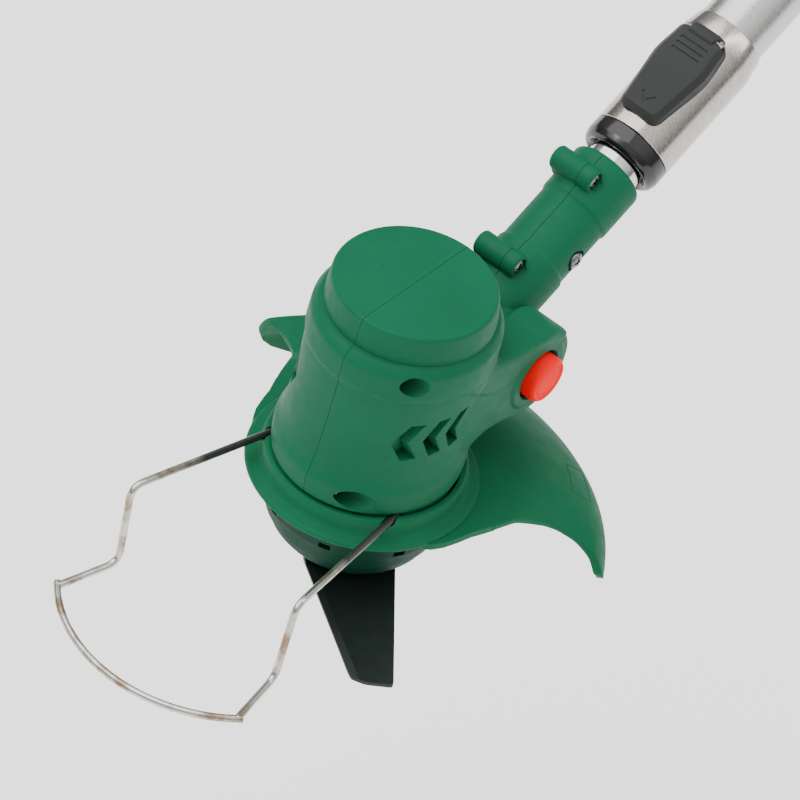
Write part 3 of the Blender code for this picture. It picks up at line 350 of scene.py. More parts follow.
# ---------------------------------------------------------------- materials
class Nodes:
    """A short way to wire a node material."""

    def __init__(self, name):
        self.material = bpy.data.materials.new(name)
        self.material.use_nodes = True
        self.tree = self.material.node_tree
        self.shader = self.tree.nodes["Principled BSDF"]
        self.place = self.add("ShaderNodeTexCoord").outputs["Object"]

    def add(self, kind, links=None, **values):
        """A node with its settings, and with its inputs linked to the given sockets."""
        node = self.tree.nodes.new(kind)
        for key, value in values.items():
            if hasattr(node, key):
                setattr(node, key, value)
            else:
                node.inputs[key.replace("_", " ")].default_value = value
        for key, source in (links or {}).items():
            self.tree.links.new(source, node.inputs[key])
        return node

    def noise(self, scale, detail=3.0, place=None, rough=0.5):
        node = self.add("ShaderNodeTexNoise", {"Vector": place or self.place}, Scale=scale, Detail=detail,
                        Roughness=rough)
        return node.outputs["Fac"]

    def ramp(self, source, low, high, at_low=0.0, at_high=1.0):
        """Map a value from one range to another, held at the ends."""
        node = self.add("ShaderNodeMapRange", {"Value": source}, From_Min=low, From_Max=high, To_Min=at_low,
                        To_Max=at_high)
        return node.outputs["Result"]

    def mix(self, factor, first, second):
        """Mix two colours, each a tuple or a socket."""
        node = self.add("ShaderNodeMix", {"Factor": factor})
        node.data_type = "RGBA"
        self.tree.links.new(factor, node.inputs[0])
        for index, colour in ((6, first), (7, second)):
            if isinstance(colour, tuple):
                node.inputs[index].default_value = (*colour, 1.0)
            else:
                self.tree.links.new(colour, node.inputs[index])
        return node.outputs[2]

    def stretched(self, scale, turn=(0.0, 0.0, 0.0)):
        """Object coordinates turned and scaled by axis."""
        node = self.add("ShaderNodeMapping", {"Vector": self.place}, Rotation=turn, Scale=scale)
        return node.outputs["Vector"]

    def bump(self, height, strength, distance):
        """Relief on the surface, its distance in metres."""
        node = self.add("ShaderNodeBump", {"Height": height}, Strength=strength, Distance=distance)
        self.tree.links.new(node.outputs["Normal"], self.shader.inputs["Normal"])

    def feed(self, **sources):
        """Set inputs of the shader, each to a number, a colour or a socket."""
        for key, source in sources.items():
            socket = self.shader.inputs[key.replace("_", " ")]
            if isinstance(source, (int, float)):
                socket.default_value = source
            elif isinstance(source, tuple):
                socket.default_value = (*source, 1.0)
            else:
                self.tree.links.new(source, socket)


def moulded(name, colour, roughness=0.5, grain=1.0, wear=0.1, specks=True, gloss=0.1):
    """Moulded plastic: fine spark-eroded grain, slight colour drift, paler rubbed edges, dust specks."""
    n = Nodes(name)
    pale = tuple(min(1.0, c * 1.35 + 0.012) for c in colour)
    deep = tuple(c * 0.86 for c in colour)
    drift = n.ramp(n.noise(38.0, 4.0), 0.3, 0.7)
    tone = n.mix(drift, deep, colour)
    edge = n.add("ShaderNodeNewGeometry").outputs["Pointiness"]
    rubbed = n.ramp(edge, 0.515, 0.60, 0.0, wear)
    tone = n.mix(rubbed, tone, pale)
    if specks:
        dots = n.ramp(n.noise(620.0, 1.0), 0.76, 0.78, 0.0, 0.4)
        tone = n.mix(dots, tone, tuple(c * 0.3 for c in colour))
    n.feed(Base_Color=tone, Roughness=n.ramp(n.noise(210.0, 3.0), 0.3, 0.7, roughness - 0.05,
                                             roughness + 0.07))
    n.feed(Specular_IOR_Level=gloss)
    n.bump(n.noise(2300.0, 2.0), 0.28 * grain, 0.00009)
    return n.material


ALONG_POLE = (pi / 2 - POLE_ANGLE, 0, 0)
FINE_LINES, EVEN_GRAIN = (1500.0, 1500.0, 22.0), (900.0, 900.0, 900.0)


def brushed(name, colour, roughness, streak=0.3, turn=(0.0, 0.0, 0.0), scale=FINE_LINES):
    """Plated or drawn metal, with fine lines along the turned Z axis."""
    n = Nodes(name)
    lines = n.noise(1.0, 4.0, n.stretched(scale, turn), 0.6)
    dark = tuple(c * (1.0 - streak) for c in colour)
    tone = n.mix(n.ramp(lines, 0.3, 0.7), dark, colour)
    n.feed(Base_Color=tone, Roughness=n.ramp(lines, 0.25, 0.75, roughness * 0.75, roughness * 1.35),
           Metallic=1.0)
    n.bump(lines, 0.12, 0.00004)
    return n.material


def wire_finish():
    """Bare spring wire with brown stains, and painted shade where it runs into the casing."""
    n = Nodes("wire")
    split = n.add("ShaderNodeSeparateXYZ", {"Vector": n.place})
    patches = n.ramp(n.noise(90.0, 4.0, None, 0.6), 0.45, 0.62)
    bare = n.mix(patches, (0.52, 0.50, 0.46), (0.25, 0.17, 0.11))
    height = split.outputs["Z"]
    # Painted shade: near, high and sleeve mark the stretch by the casing, which is painted dark and less
    # metallic as if in its shadow.
    near = n.ramp(split.outputs["Y"], -0.062, -0.052)
    high = n.ramp(height, 0.040, 0.044)
    sleeve = n.add("ShaderNodeMath", {0: near, 1: high})
    sleeve.operation = "MULTIPLY"
    tone = n.mix(sleeve.outputs[0], bare, (0.045, 0.05, 0.045))
    n.feed(Base_Color=tone, Metallic=n.ramp(sleeve.outputs[0], 0.0, 1.0, 1.0, 0.55),
           Roughness=n.ramp(patches, 0.0, 1.0, 0.24, 0.38))
    n.bump(n.noise(1800.0, 3.0), 0.15, 0.00005)
    return n.material


GREEN = moulded("green_plastic", (0.005, 0.108, 0.049), 0.54)
GUARD_GREEN = moulded("guard_plastic", (0.004, 0.110, 0.046), 0.54)
# The lower cover is the casing's green plastic painted darker: painted shade for its downward faces.
BOWL_SHADED_GREEN = moulded("bowl_plastic", (0.002, 0.036, 0.019), 0.6)
BLACK = moulded("black_plastic", (0.018, 0.019, 0.02), 0.48, 1.0, 0.1, False)
LEVER_BLACK = moulded("lever_plastic", (0.032, 0.034, 0.034), 0.4, 1.6, 0.15, False)
GREY = moulded("grey_plastic", (0.12, 0.125, 0.125), 0.5, 1.0, 0.15, False)
RUBBER = moulded("grip_rubber", (0.022, 0.022, 0.023), 0.72, 2.0, 0.1, False)
RED = moulded("red_plastic", (0.98, 0.0006, 0.003), 0.5, 0.5, 0.0, False, 0.04)
GLOSS_BLACK = moulded("collar_plastic", (0.006, 0.006, 0.006), 0.16, 0.2, 0.05, False, 0.5)
STEEL = brushed("zinc_steel", (0.36, 0.36, 0.37), 0.34, 0.35, scale=EVEN_GRAIN)
DARK_STEEL = brushed("screw_steel", (0.20, 0.20, 0.21), 0.3, 0.4, scale=EVEN_GRAIN)
CHROME = brushed("tube_chrome", (0.62, 0.61, 0.60), 0.12, 0.15, ALONG_POLE)
NICKEL = brushed("sleeve_nickel", (0.50, 0.46, 0.42), 0.2, 0.3, ALONG_POLE)
TUBE_METAL = brushed("outer_tube", (0.55, 0.54, 0.53), 0.28, 0.2, ALONG_POLE)
BLADE_STEEL = moulded("blade_steel", (0.005, 0.010, 0.008), 0.42, 0.6, 0.3, False, 0.25)
COPPER = brushed("copper", (0.72, 0.29, 0.12), 0.35, 0.3)
WIRE = wire_finish()


# ---------------------------------------------------------------- the casing
BODY = (
    # height, centre y, half width in x, half depth in y
    (48.5, 0.0, 33.7, 35.5), (50.4, 0.0, 34.2, 36.3), (57.6, 0.1, 34.5, 36.7), (61.4, 0.3, 32.9, 35.2),
    (66.5, 0.6, 32.1, 34.4), (80.0, 1.9, 31.4, 33.7), (101.0, 4.5, 33.4, 34.7), (110.2, 5.0, 33.1, 34.6),
    (112.9, 5.3, 32.2, 33.7), (113.7, 5.5, 29.9, 30.9))
CAP = ((106.0, 5.5, 30.7, 31.0), (116.4, 5.5, 30.7, 31.1), (123.9, 5.2, 30.0, 29.8), (125.0, 5.2, 29.2, 28.9),
       (125.0, 5.2, 28.0, 27.6))
CREASE = ((-60.0, 100.2), (-3.0, 100.0), (3.4, 96.9), (9.4, 91.8), (18.0, 86.2), (24.4, 83.8), (35.3, 85.1),
          (40.0, 88.0))
VENTS = (-22.5, -12.6, -3.1)
VENT_Z = 80.1
CASING_SCREWS = ((-19.5, 107.0), (-30.4, 54.6))
YZ_OUTLINE = Matrix(((0, 0, 1, 0), (1, 0, 0, 0), (0, 1, 0, 0), (0, 0, 0, 1)))   # (y, z) outlines, thick in x


def body_rows(stations, reach, count=6):
    """Rings through a table of stations, with the profile's corners softened."""
    path = soften(stations, reach, count)
    return [ring_row(half_x, half_y, centre, z) for z, centre, half_x, half_y in path]


def ring_row(radius_x, radius_y, centre, z, steps=144):
    """One ellipse at a height, its centre given in y."""
    return [(radius_x * cos(2 * pi * i / steps), centre + radius_y * sin(2 * pi * i / steps), z)
            for i in range(steps)]


def arm_outline():
    """The arm from the casing to the tilt pin, in (y, z)."""
    hood = arc(PIN_Y, PIN_Z, EAR_R, 98, -98, 28)
    under = [(38.0, 61.2), (30.0, 63.2), (22.0, 62.8), (15.5, 59.8), (12.0, 54.0), (9.0, 50.0)]
    rest = [(-4.0, 50.0), (-4.0, 103.0), (12.0, 101.0), (30.0, 96.5)]
    return hood + [tuple(p) for p in soften(under + rest, 4.0, 3)]


def inset(outline, depth):
    """Pull a clockwise outline in by a depth."""
    result = []
    for before, here, after in zip(outline[-1:] + outline[:-1], outline, outline[1:] + outline[:1]):
        along = ((Vector(here) - Vector(before)).normalized()
                 + (Vector(after) - Vector(here)).normalized()).normalized()
        result.append((here[0] + along.y * depth, here[1] - along.x * depth))
    return result


def band(points):
    """How far the upper band stands proud of each point."""
    x, y, z = points.T
    line = np.interp(y, [p[0] for p in CREASE], [p[1] for p in CREASE])
    above = step(z - line + 0.8, 1.6)
    ring = 1 - step(np.hypot(y - PIN_Y, z - PIN_Z) - 13.6, 1.2)
    outer = np.maximum(above, ring)
    fade = 1 - step(z - 109.5, 3.0)
    return BAND * outer * fade * step(np.hypot(x, y) - 24.0, 3.0)


def blend(points):
    """Where the arms run into the body, the skin is smoothed most."""
    x, y, z = points.T
    reach = np.exp(-((y - 20.0) / 12.0) ** 2) * step(np.abs(x) - 20.0, 6.0)
    return reach * (1 - step(z - 104.0, 5.0)) * step(z - 50.0, 8.0)


def chevron(y, z):
    return [(y, z), (y + 4.8, z + 8.2), (y + 9.8, z + 8.2), (y + 4.9, z + 0.2), (y + 8.3, z - 7.4),
            (y + 3.2, z - 7.8)]


def wire_entry(side):
    """Where the edge guard's wire leaves the casing, and which way it goes."""
    return Vector((28.4 * side, -19.7, 46.5)), Vector((9.6 * side, -66.2, 7.1)).normalized()


def wire_hole(side):
    start, way = wire_entry(side)
    return tube([start - way * 8.0, start + way * 14.0], WIRE_HOLE_R)


def casing():
    """Two halves, with the arms that hold the neck, and rooms for the motor, neck and screws."""
    seam, far = 0.08, 80.0
    base = skin([ring_row(29.6, 29.6, 0, 35.0), ring_row(29.6, 29.6, 0, 41.4), ring_row(33.3, 33.7, 0, 41.6),
                 ring_row(33.3, 33.7, 0, 48.3)] + body_rows(BODY, 6.0))
    arms = []
    for side in (RIGHT, LEFT):
        layers = ((EAR_IN, 0.0), (EAR_OUT - BAND - 1.6, 0.0), (EAR_OUT - BAND - 0.5, 0.4),
                  (EAR_OUT - BAND, 1.5))
        arms.append(skin([[(side * x, y, z) for y, z in inset(arm_outline(), depth)]
                          for x, depth in layers]))
    solid = melted([base, *arms], 0.55, 3, blend)
    solid = pushed(solid, band)
    relax(solid, 1, None)
    solid = carved(solid, [skin(body_rows(CAP, 0.6, 4), sharp=40.0)], "UNION")

    rooms = [
        skin([ring_row(27.0, 27.0, 0, 34.0), ring_row(27.0, 27.0, 0, 47.0)]
             + [ring_row(31.0, 32.0, 0.2, 54.0), ring_row(30.0, 31.0, 0.3, 60.5)]),
        skin([ring_row(27.4, 29.8, 1.4, 76.2), ring_row(28.6, 30.6, 3.6, 96.0),
              ring_row(28.6, 30.6, 5.4, 111.0), ring_row(26.6, 27.0, 5.4, 122.0)]),
        rod(19.3, 78.0, 56.0),
        rod(NECK_R + 1.1, EAR_IN + 0.1, -EAR_IN - 0.1, across(PIN_Y, PIN_Z))]
    posts = [rod(5.3, -50, 50, across(y, z)) for y, z in CASING_SCREWS]
    rooms[:2] = [carved(room, posts) for room in rooms[:2]]
    recess = [(0, 23.7), (9.9, 23.7), (9.9, 31.0), (10.6, 32.2), (10.6, 41.0), (0, 40.0)]
    for side in (RIGHT, LEFT):
        for y in VENTS:
            rooms.append(slab(chevron(y, VENT_Z), *sorted((side * 22.0, side * 44.0)), YZ_OUTLINE))
        rooms.append(turned([(r, side * h) for r, h in recess], across(PIN_Y, PIN_Z), 0.3))
        rooms.append(wire_hole(side))
    for y, z in CASING_SCREWS:
        rooms.append(rod(4.0, 9.0, 60.0, across(y, z)))
    rooms.append(rod(8.8, 25.5, 13.0, across(PIN_Y, PIN_Z)))
    solid = carved(solid, rooms, sharp=40.0)
    for side, end in SIDES:
        low, high = sorted((side * seam, side * -far))
        half = carved(solid.copy(), [block((low, -80, 20), (high, 110, 140), fillet=0)], sharp=40.0)
        show(f"casing_{end}", half, GREEN, "head", f"housing_{end}", slot="housing_plastic")


def screw(name, matrix, body, node, radius=3.1, height=2.2, length=12.0, material=None):
    """A pan-head screw with a cross recess; its head's top is at local z = 0."""
    profile = [(0, 0), (radius * 0.55, -0.05), (radius * 0.86, -0.5), (radius, -1.3), (radius, -height),
               (1.5, -height), (1.5, -length), (0, -length)]
    cross = [block((-radius * 0.6, -0.42, -1.3), (radius * 0.6, 0.42, 1.0), fillet=0),
             block((-0.42, -radius * 0.6, -1.3), (0.42, radius * 0.6, 1.0), fillet=0)]
    head = carved(turned(profile, None, 0.35, 40), cross)
    head.transform(Matrix.Translation(matrix.translation * MM) @ matrix.to_3x3().to_4x4())
    show(name, head, material or DARK_STEEL, body, node, slot="screw_steel")


def button():
    knob = [(0, 36.2), (5.6, 36.4), (6.3, 36.1), (6.9, 36.1), (7.6, 36.7), (8.2, 36.6), (8.9, 35.6),
            (9.0, 34.4), (9.0, 27.0), (7.4, 27.0), (7.4, 24.0), (0, 24.0)]
    show("tilt_knob", turned(knob, across(PIN_Y, PIN_Z), 0.35), RED, "tilt_release", "tilt_button",
         slot="red_plastic")
    head = [(0, -30.2), (8.4, -30.2), (9.6, -29.0), (9.6, -24.2), (4.0, -24.2), (4.0, 14.9), (0, 14.9)]
    show("tilt_bolt", turned(head, across(PIN_Y, PIN_Z), 0.5), STEEL, "head", "tilt_pin", slot="motor_steel")


# ---------------------------------------------------------------- guard, bowl, blade, wire
FAN_IN, FAN_OUT, FAN_THICK = 38.0, 93.8, 2.6
GUARD_HEIGHT = (
    # radius, height of the fan's top
    (30.0, 39.0), (40.0, 38.9), (50.0, 38.7), (57.0, 38.2), (63.0, 36.9), (69.0, 34.6), (75.0, 31.6),
    (81.0, 28.0), (86.0, 24.5), (90.0, 20.9), (92.2, 17.6), (93.0, 15.4), (93.5, 10.5), (93.8, 7.0))
GUARD_REACH = (
    # radius, degrees from the middle to the fan's side edge
    (38.0, 118.0), (40.0, 112.0), (43.5, 106.0), (45.0, 98.0), (47.0, 85.0), (51.4, 75.7), (57.0, 66.7),
    (62.3, 61.6), (68.0, 57.6), (73.1, 55.9), (80.0, 56.0), (87.0, 58.2), (93.0, 61.2), (93.5, 57.0),
    (93.8, 50.0))
# The left wing's end stands higher and reaches a little further round, against the radius.
LEFT_LIFT = ((40.0, 0.0), (62.0, 0.0), (68.0, -0.8), (74.0, 1.9), (80.0, 3.8), (87.0, 7.4), (90.0, 6.4),
             (93.0, 3.4), (93.8, 0.0))
LEFT_REACH = ((40.0, 0.0), (55.0, 1.8), (62.0, 2.0), (68.0, 2.9), (74.0, 4.2), (80.0, 3.9), (87.0, 3.6),
              (93.0, 1.6), (93.8, 1.4))


def along_curve(table, value):
    """Read a softened curve through a short table."""
    path = soften(table, 3.0, 5)
    return float(np.interp(value, [p[0] for p in path], [p[1] for p in path]))



def fan_point(radius, share, depth):
    """A point of the fan: share runs from -1 to 1 across it, depth down through it."""
    reach = along_curve(GUARD_REACH, radius)
    droop = 3.5 * share ** 8 * max(0.0, 1 - ((radius - 73.0) / 15.0) ** 2)
    height = along_curve(GUARD_HEIGHT, radius) - droop
    if share < 0:
        reach += along_curve(LEFT_REACH, radius)
        height += along_curve(LEFT_LIFT, radius) * float(step(-share, 0.8))
    inward = depth * min(1.0, max(0.0, radius - 80.0) / 12.0)
    depth *= 1 - 0.9 * float(step(radius - 91.0, 2.6))
    angle = radians(reach) * share
    return (radius - inward) * sin(angle), (radius - inward) * cos(angle), height - depth


def fan():
    """The fan as two grids, closed round the edges, with its rim bevelled."""
    columns, rows = 90, 60
    radii = [FAN_IN + (FAN_OUT - FAN_IN) * (1 - (1 - i / rows) ** 1.5) for i in range(rows + 1)]
    shares = [-1 + 2 * j / columns for j in range(columns + 1)]
    bm = bmesh.new()
    top, bottom = [[[bm.verts.new(fan_point(radius, share, depth)) for share in shares]
                    for radius in radii] for depth in (0.0, FAN_THICK)]
    for i in range(rows):
        for j in range(columns):
            bm.faces.new((top[i][j], top[i][j + 1], top[i + 1][j + 1], top[i + 1][j]))
            bm.faces.new((bottom[i][j], bottom[i + 1][j], bottom[i + 1][j + 1], bottom[i][j + 1]))
        for j in (0, columns):
            bm.faces.new((top[i][j], top[i + 1][j], bottom[i + 1][j], bottom[i][j]))
    for i in (0, rows):
        for j in range(columns):
            bm.faces.new((top[i][j], bottom[i][j], bottom[i][j + 1], top[i][j + 1]))
    bmesh.ops.recalc_face_normals(bm, faces=bm.faces)
    rim = [edge for edge in bm.edges if edge.calc_face_angle(0) > radians(48)
           and abs((edge.verts[0].co - edge.verts[1].co).z) < 2.0 and edge.calc_length() < 2.3]
    bmesh.ops.bevel(bm, geom=rim, offset=0.55, segments=3, profile=0.5, affect="EDGES", clamp_overlap=True)
    return finished(bm, sharp=35.0)


def panel_groove():
    """A thin bar round the plain panel on the right wing, to cut with."""
    corners = [(80.9, 30.8), (88.5, 30.6), (86.9, 41.5), (79.0, 41.6)]      # radius and degrees
    lift = Vector((0.1, 0.1, 0.25))
    path = []
    for (r0, a0), (r1, a1) in zip(corners, corners[1:] + corners[:1]):
        for i in range(12):
            radius, angle = r0 + (r1 - r0) * i / 12, a0 + (a1 - a0) * i / 12
            share = angle / along_curve(GUARD_REACH, radius)
            path.append(Vector(fan_point(radius, share, 0.0)) + lift)
    return tube(path, 0.5, sides=8, cyclic=True)


def guard():
    """The flange with its collar, and the fan round it."""
    profile = [(30.0, 41.2), (34.0, 41.2), (34.3, 47.5), (36.1, 47.5), (36.9, 46.8), (37.4, 42.4),
               (38.3, 41.0), (41.4, 40.2), (42.3, 39.6), (42.6, 38.9), (42.6, 38.2), (41.8, 37.6),
               (30.0, 37.6)]
    flange = turned(profile, None, 0.35, 144, closed=True)
    shell = carved(flange, [fan()], "UNION", 35.0)
    tools = [panel_groove(), wire_hole(RIGHT), wire_hole(LEFT)]
    show("guard_shell", carved(shell, tools, sharp=35.0), GUARD_GREEN, "head", "guard", slot="guard_plastic")


def bowl():
    outer = [(37.9, 37.3), (37.7, 34.4), (36.8, 34.0), (36.4, 31.0), (35.4, 30.6), (34.9, 27.0), (33.9, 26.6),
             (32.0, 19.2), (31.2, 18.9), (29.4, 14.4), (26.6, 11.0), (24.6, 10.2),
             (8.0, 10.2)]
    inner = [(8.0, 12.4), (23.8, 12.4), (29.6, 24.0), (31.2, 33.0), (31.2, 37.3)]
    shell = turned(outer + inner, None, 0.6, 144, closed=True)
    tools = [rod(3.1, 16.0, 5.0, Matrix.Translation((BOWL_SCREW_X * side, 0, 0))) for side in (RIGHT, LEFT)]
    for angle in (100, 150, 220, 250, 290, 335):
        turn = Matrix.Rotation(radians(angle), 4, "Z")
        tools.append(block((32.5, -2.2, 27.5), (40.0, 2.2, 30.0), turn, 0.3))
    # The cover gets the green with painted shade.
    show("lower_cover", carved(shell, tools), BOWL_SHADED_GREEN, "head", "lower_bowl", slot="bowl_plastic")
    for i, side in enumerate((RIGHT, LEFT)):
        under = Matrix.Translation((BOWL_SCREW_X * side, 0, 14.1)) @ Matrix.Rotation(pi, 4, "X")
        screw(f"cover_screw_{i + 1}", under, "head", f"bowl_screw_{i + 1}", 2.7, 1.6, 30.0)


def blade():
    """A flat two-wing cutter with ground edges."""
    turn = Matrix.Rotation(BLADE_ANGLE, 4, "Z")
    wing = [(16.5, -17.8), (72.1, -8.1), (75.0, -7.3), (77.4, -2.4), (78.3, 7.4), (18.0, 15.4)]
    outline = [tuple(p) for p in soften(wing + [(-u, -v) for u, v in wing], 1.2, 4, closed=True)]
    top, thick, ground = 8.5, 1.6, 0.7
    hole = arc(0, 0, 2.8, 0, 345, 24)
    plate = slab(outline, top - thick, top, turn, holes=[hole])
    cutters = []
    for side in (RIGHT, LEFT):
        rows = []
        for u, v in ((19.0, -17.6), (76.5, -7.2)):
            wedge = ((v - 2.0, top + 1.0), (v + 2.6, top + 0.01), (v + 0.1, top - ground),
                     (v - 2.0, top - ground))
            rows.append([(side * u, side * width, z) for width, z in wedge])
        cutters.append(skin(rows, turn))
    show("cutter", carved(plate, cutters, sharp=12.0), BLADE_STEEL, "rotor", "blade", slot="blade_steel")
    hub = [(2.8, 30.0), (6.0, 30.0), (6.6, 12.8), (6.6, 10.0), (13.0, 9.6), (13.0, 8.8), (2.8, 8.8)]
    show("cutter_hub", turned(hub, None, 0.4, 72, closed=True), BLACK, "rotor", "blade_hub",
         slot="black_plastic")
    washer = [(2.8, 6.6), (9.0, 6.6), (9.0, 5.6), (2.8, 5.6)]
    show("cutter_washer", turned(washer, None, 0.15, 72, closed=True), STEEL, "rotor", "blade_washer",
         slot="motor_steel")
    nut = slab(arc(0, 0, 6.9, 0, 300, 6), 0.0, 5.3, fillet=0.25)
    crown = [(0, 6.0), (5.4, 6.0), (5.4, 5.4), (7.4, 4.4), (7.4, 0.9), (5.9, 0.0), (0, 0.0)]
    nut = carved(nut, [turned(crown, fillet=0.1)], "INTERSECT")
    nut = carved(nut, [rod(2.8, 8.0, 2.8)])
    show("cutter_nut", nut, STEEL, "rotor", "blade_nut", slot="motor_steel")


def bent(points, bend, count=9):
    """A path with its corners turned into bends of about the given radius."""
    path = [Vector(points[0])]
    for before, corner, after in zip(points, points[1:], points[2:]):
        before, corner, after = Vector(before), Vector(corner), Vector(after)
        back = (before - corner).normalized()
        on = (after - corner).normalized()
        half = back.angle(on) / 2
        room = 0.45 * min((before - corner).length, (after - corner).length)
        reach = min(bend * cos(half) / sin(half), room)
        path += curve(corner + back * reach, corner, corner + on * reach, count)
    path.append(Vector(points[-1]))
    return path


def wire():
    """The bent edge guard: the right half, and the left as its mirror image."""
    start, way = wire_entry(RIGHT)
    start = start - way * 8.9
    front = [(x, y, 19.2) for x, y in arc(0, -75.3, 56.5, -40, -90, 28)]
    half = [tuple(start), (38.0, -85.9, 53.6), (36.6, -86.3, 17.8), (41.9, -113.4, 19.3)]
    path = bent(half + front[:1], 5.5)[:-1]
    right = [tuple(p) for p in path] + front
    left = [(-x, y, z) for x, y, z in reversed(right[:-1])]
    show("edge_wire", tube(right + left, WIRE_R, sides=20), WIRE, "head", "wire_guard", slot="wire_steel")


# ---------------------------------------------------------------- neck and pole
BOSSES = (("lower", 23.7, 15.4), ("upper", 66.3, 15.4))     # s and up
SIDE_SCREW_S = 43.0


def neck():
    """Two halves on the tilt pin, screwed together round the inner tube."""
    seam, far = 0.09, 60.0
    profile = [(0, NECK_END), (NECK_R - 2.4, NECK_END), (NECK_R - 0.9, NECK_END - 0.3),
               (NECK_R, NECK_END - 1.6), (NECK_R, 57.8), (NECK_R - 0.7, 57.2), (NECK_R - 0.7, 34.2),
               (NECK_R, 33.6), (NECK_R, 0.0), (0, 0.0)]
    body = turned(profile, pole_matrix(), 0.5, 128)
    knuckle = [(0, 14.6), (12.2, 14.6), (14.0, 13.0), (14.0, -13.0), (12.2, -14.6), (0, -14.6)]
    solids = [body, turned(knuckle, pole_cross(0, 0), 1.0, 96)]
    for _, s, up in BOSSES:
        boss = [(0, 5.6), (3.9, 5.6), (4.7, 4.9), (4.7, -12.4), (3.6, -13.2), (0, -13.2)]
        solids.append(turned(boss, pole_cross(s, up), 0.5, 64))
        web = block((-12.6, s - 4.2, 9.0), (5.2, s + 4.2, up - 0.6), pole_deck(), 0.4)
        solids.append(web)
    solid = melted(solids, 0.5, 2)
    tools = [rod(TUBE_R + 0.25, 90.0, 25.7, pole_matrix()),
             turned([(0, 16.0), (6.6, 16.0), (6.6, 6.6), (4.1, 6.6), (4.1, -16.0), (0, -16.0)],
                    pole_cross(0, 0), 0),
             rod(4.3, 20.0, 12.3, pole_cross(SIDE_SCREW_S, 0))]
    for _, s, up in BOSSES:
        tools.append(rod(3.5, 20.0, 3.4, pole_cross(s, up)))
    solid = carved(solid, tools, sharp=40.0)
    for side, end in SIDES:
        low, high = sorted((side * seam, side * -far))
        half = carved(solid.copy(), [block((low, -60, -60), (high, 200, 220), fillet=0)], sharp=40.0)
        show(f"neck_shell_{end}", half, GREEN, "inner_pole", f"neck_{end}", slot="neck_plastic")
    for label, s, up in BOSSES:
        screw(f"boss_screw_{label}", pole_cross(s, up, 5.5), "inner_pole", f"neck_screw_{label}", 3.1, 2.0,
              14.0)
    screw("side_screw", pole_cross(SIDE_SCREW_S, 0, 14.6), "inner_pole", "neck_screw_side", 3.3, 2.0, 5.5)


def pipe(radius, start, end):
    """A tube of the pole, open at both ends."""
    profile = [(radius, end), (radius, start), (radius - TUBE_WALL, start), (radius - TUBE_WALL, end)]
    return turned(profile, pole_matrix(), 0.2, 96, closed=True)


def pole():
    show("chrome_tube", pipe(TUBE_R, INNER_START, INNER_END), CHROME, "inner_pole", "inner_tube",
         slot="tube_chrome")
    show("main_tube", pipe(OUTER_R, OUTER_START, OUTER_END), TUBE_METAL, "handle", "outer_tube",
         slot="outer_tube_metal")
    collar = [(TUBE_R + 0.3, 97.7), (13.2, 97.7), (13.2, COLLAR_END), (SLEEVE_R, COLLAR_END),
              (SLEEVE_R, COLLAR_START + 3.4), (15.2, COLLAR_START + 1.0), (13.9, COLLAR_START),
              (12.9, COLLAR_START), (12.3, COLLAR_START + 0.8), (TUBE_R + 0.3, COLLAR_START + 2.2)]
    show("lock_collar", turned(collar, pole_matrix(), 0.35, 128, closed=True), GLOSS_BLACK, "handle",
         "sleeve_collar", slot="collar_plastic")
    sleeve = [(OUTER_R + 0.3, SLEEVE_END), (OUTER_R + 0.9, SLEEVE_END), (SLEEVE_R, SLEEVE_END - 9.0),
              (SLEEVE_R, COLLAR_END + 0.3), (OUTER_R + 0.3, COLLAR_END + 0.3)]
    shell = turned(sleeve, pole_matrix(), 0.5, 128, closed=True)
    window = slab([tuple(p) for p in soften([(-7, 99.0), (7, 99.0), (7, 138.6), (-7, 138.6)], 1.5, 4, True)],
                  8.0, 24.0, pole_deck())
    show("nickel_sleeve", carved(shell, [window]), NICKEL, "handle", "lock_sleeve", slot="sleeve_nickel")


def lever():
    """The tapered plate on the sleeve, with a plain raised arrow."""
    corners = [(-8.3, 96.0), (8.3, 96.0), (11.6, 121.0), (9.8, 136.0), (-9.8, 136.0), (-11.6, 121.0)]
    outline = soften(corners, 3.0, 6, closed=True)
    levels = ((0.0, 12.6), (0.0, 17.2), (0.5, 18.2), (1.9, 19.6), (2.6, 19.8))
    rows = [[(x * (1 - d / 11.0), 116.0 + (s - 116.0) * (1 - d / 20.0), up) for x, s in outline]
            for d, up in levels]
    plate = skin(rows, pole_deck(), sharp=25.0)
    saddle = rod(SLEEVE_R + 0.6, 160.0, 80.0, pole_matrix(), 0, 128)
    arrow = [(-3.4, 103.5), (0, 99.6), (3.4, 103.5), (2.5, 104.4), (0, 101.5), (-2.5, 104.4)]
    tools = [saddle, slab(arrow, 19.45, 22.0, pole_deck())]
    for s in (124.0, 126.6, 129.2):
        tools.append(block((-6.0, s - 0.5, 19.4), (6.0, s + 0.5, 22.0), pole_deck(), 0.0))
    plate = carved(plate, tools, sharp=25.0)
    cam = rod(3.4, 5.4, -5.4, pole_cross(134.5, 17.3), 0.3, 48)
    plate = carved(plate, [cam], "UNION", sharp=25.0)
    plate = carved(plate, [rod(1.3, 14.0, -14.0, pole_cross(*LEVER_AXLE))], sharp=25.0)
    show("lever_plate", plate, LEVER_BLACK, "length_lever", "lock_lever", slot="black_plastic")
    show("lever_axle", rod(1.2, 8.4, -8.4, pole_cross(*LEVER_AXLE), 0.2, 32), STEEL, "length_lever",
         "lever_pin", slot="screw_steel")


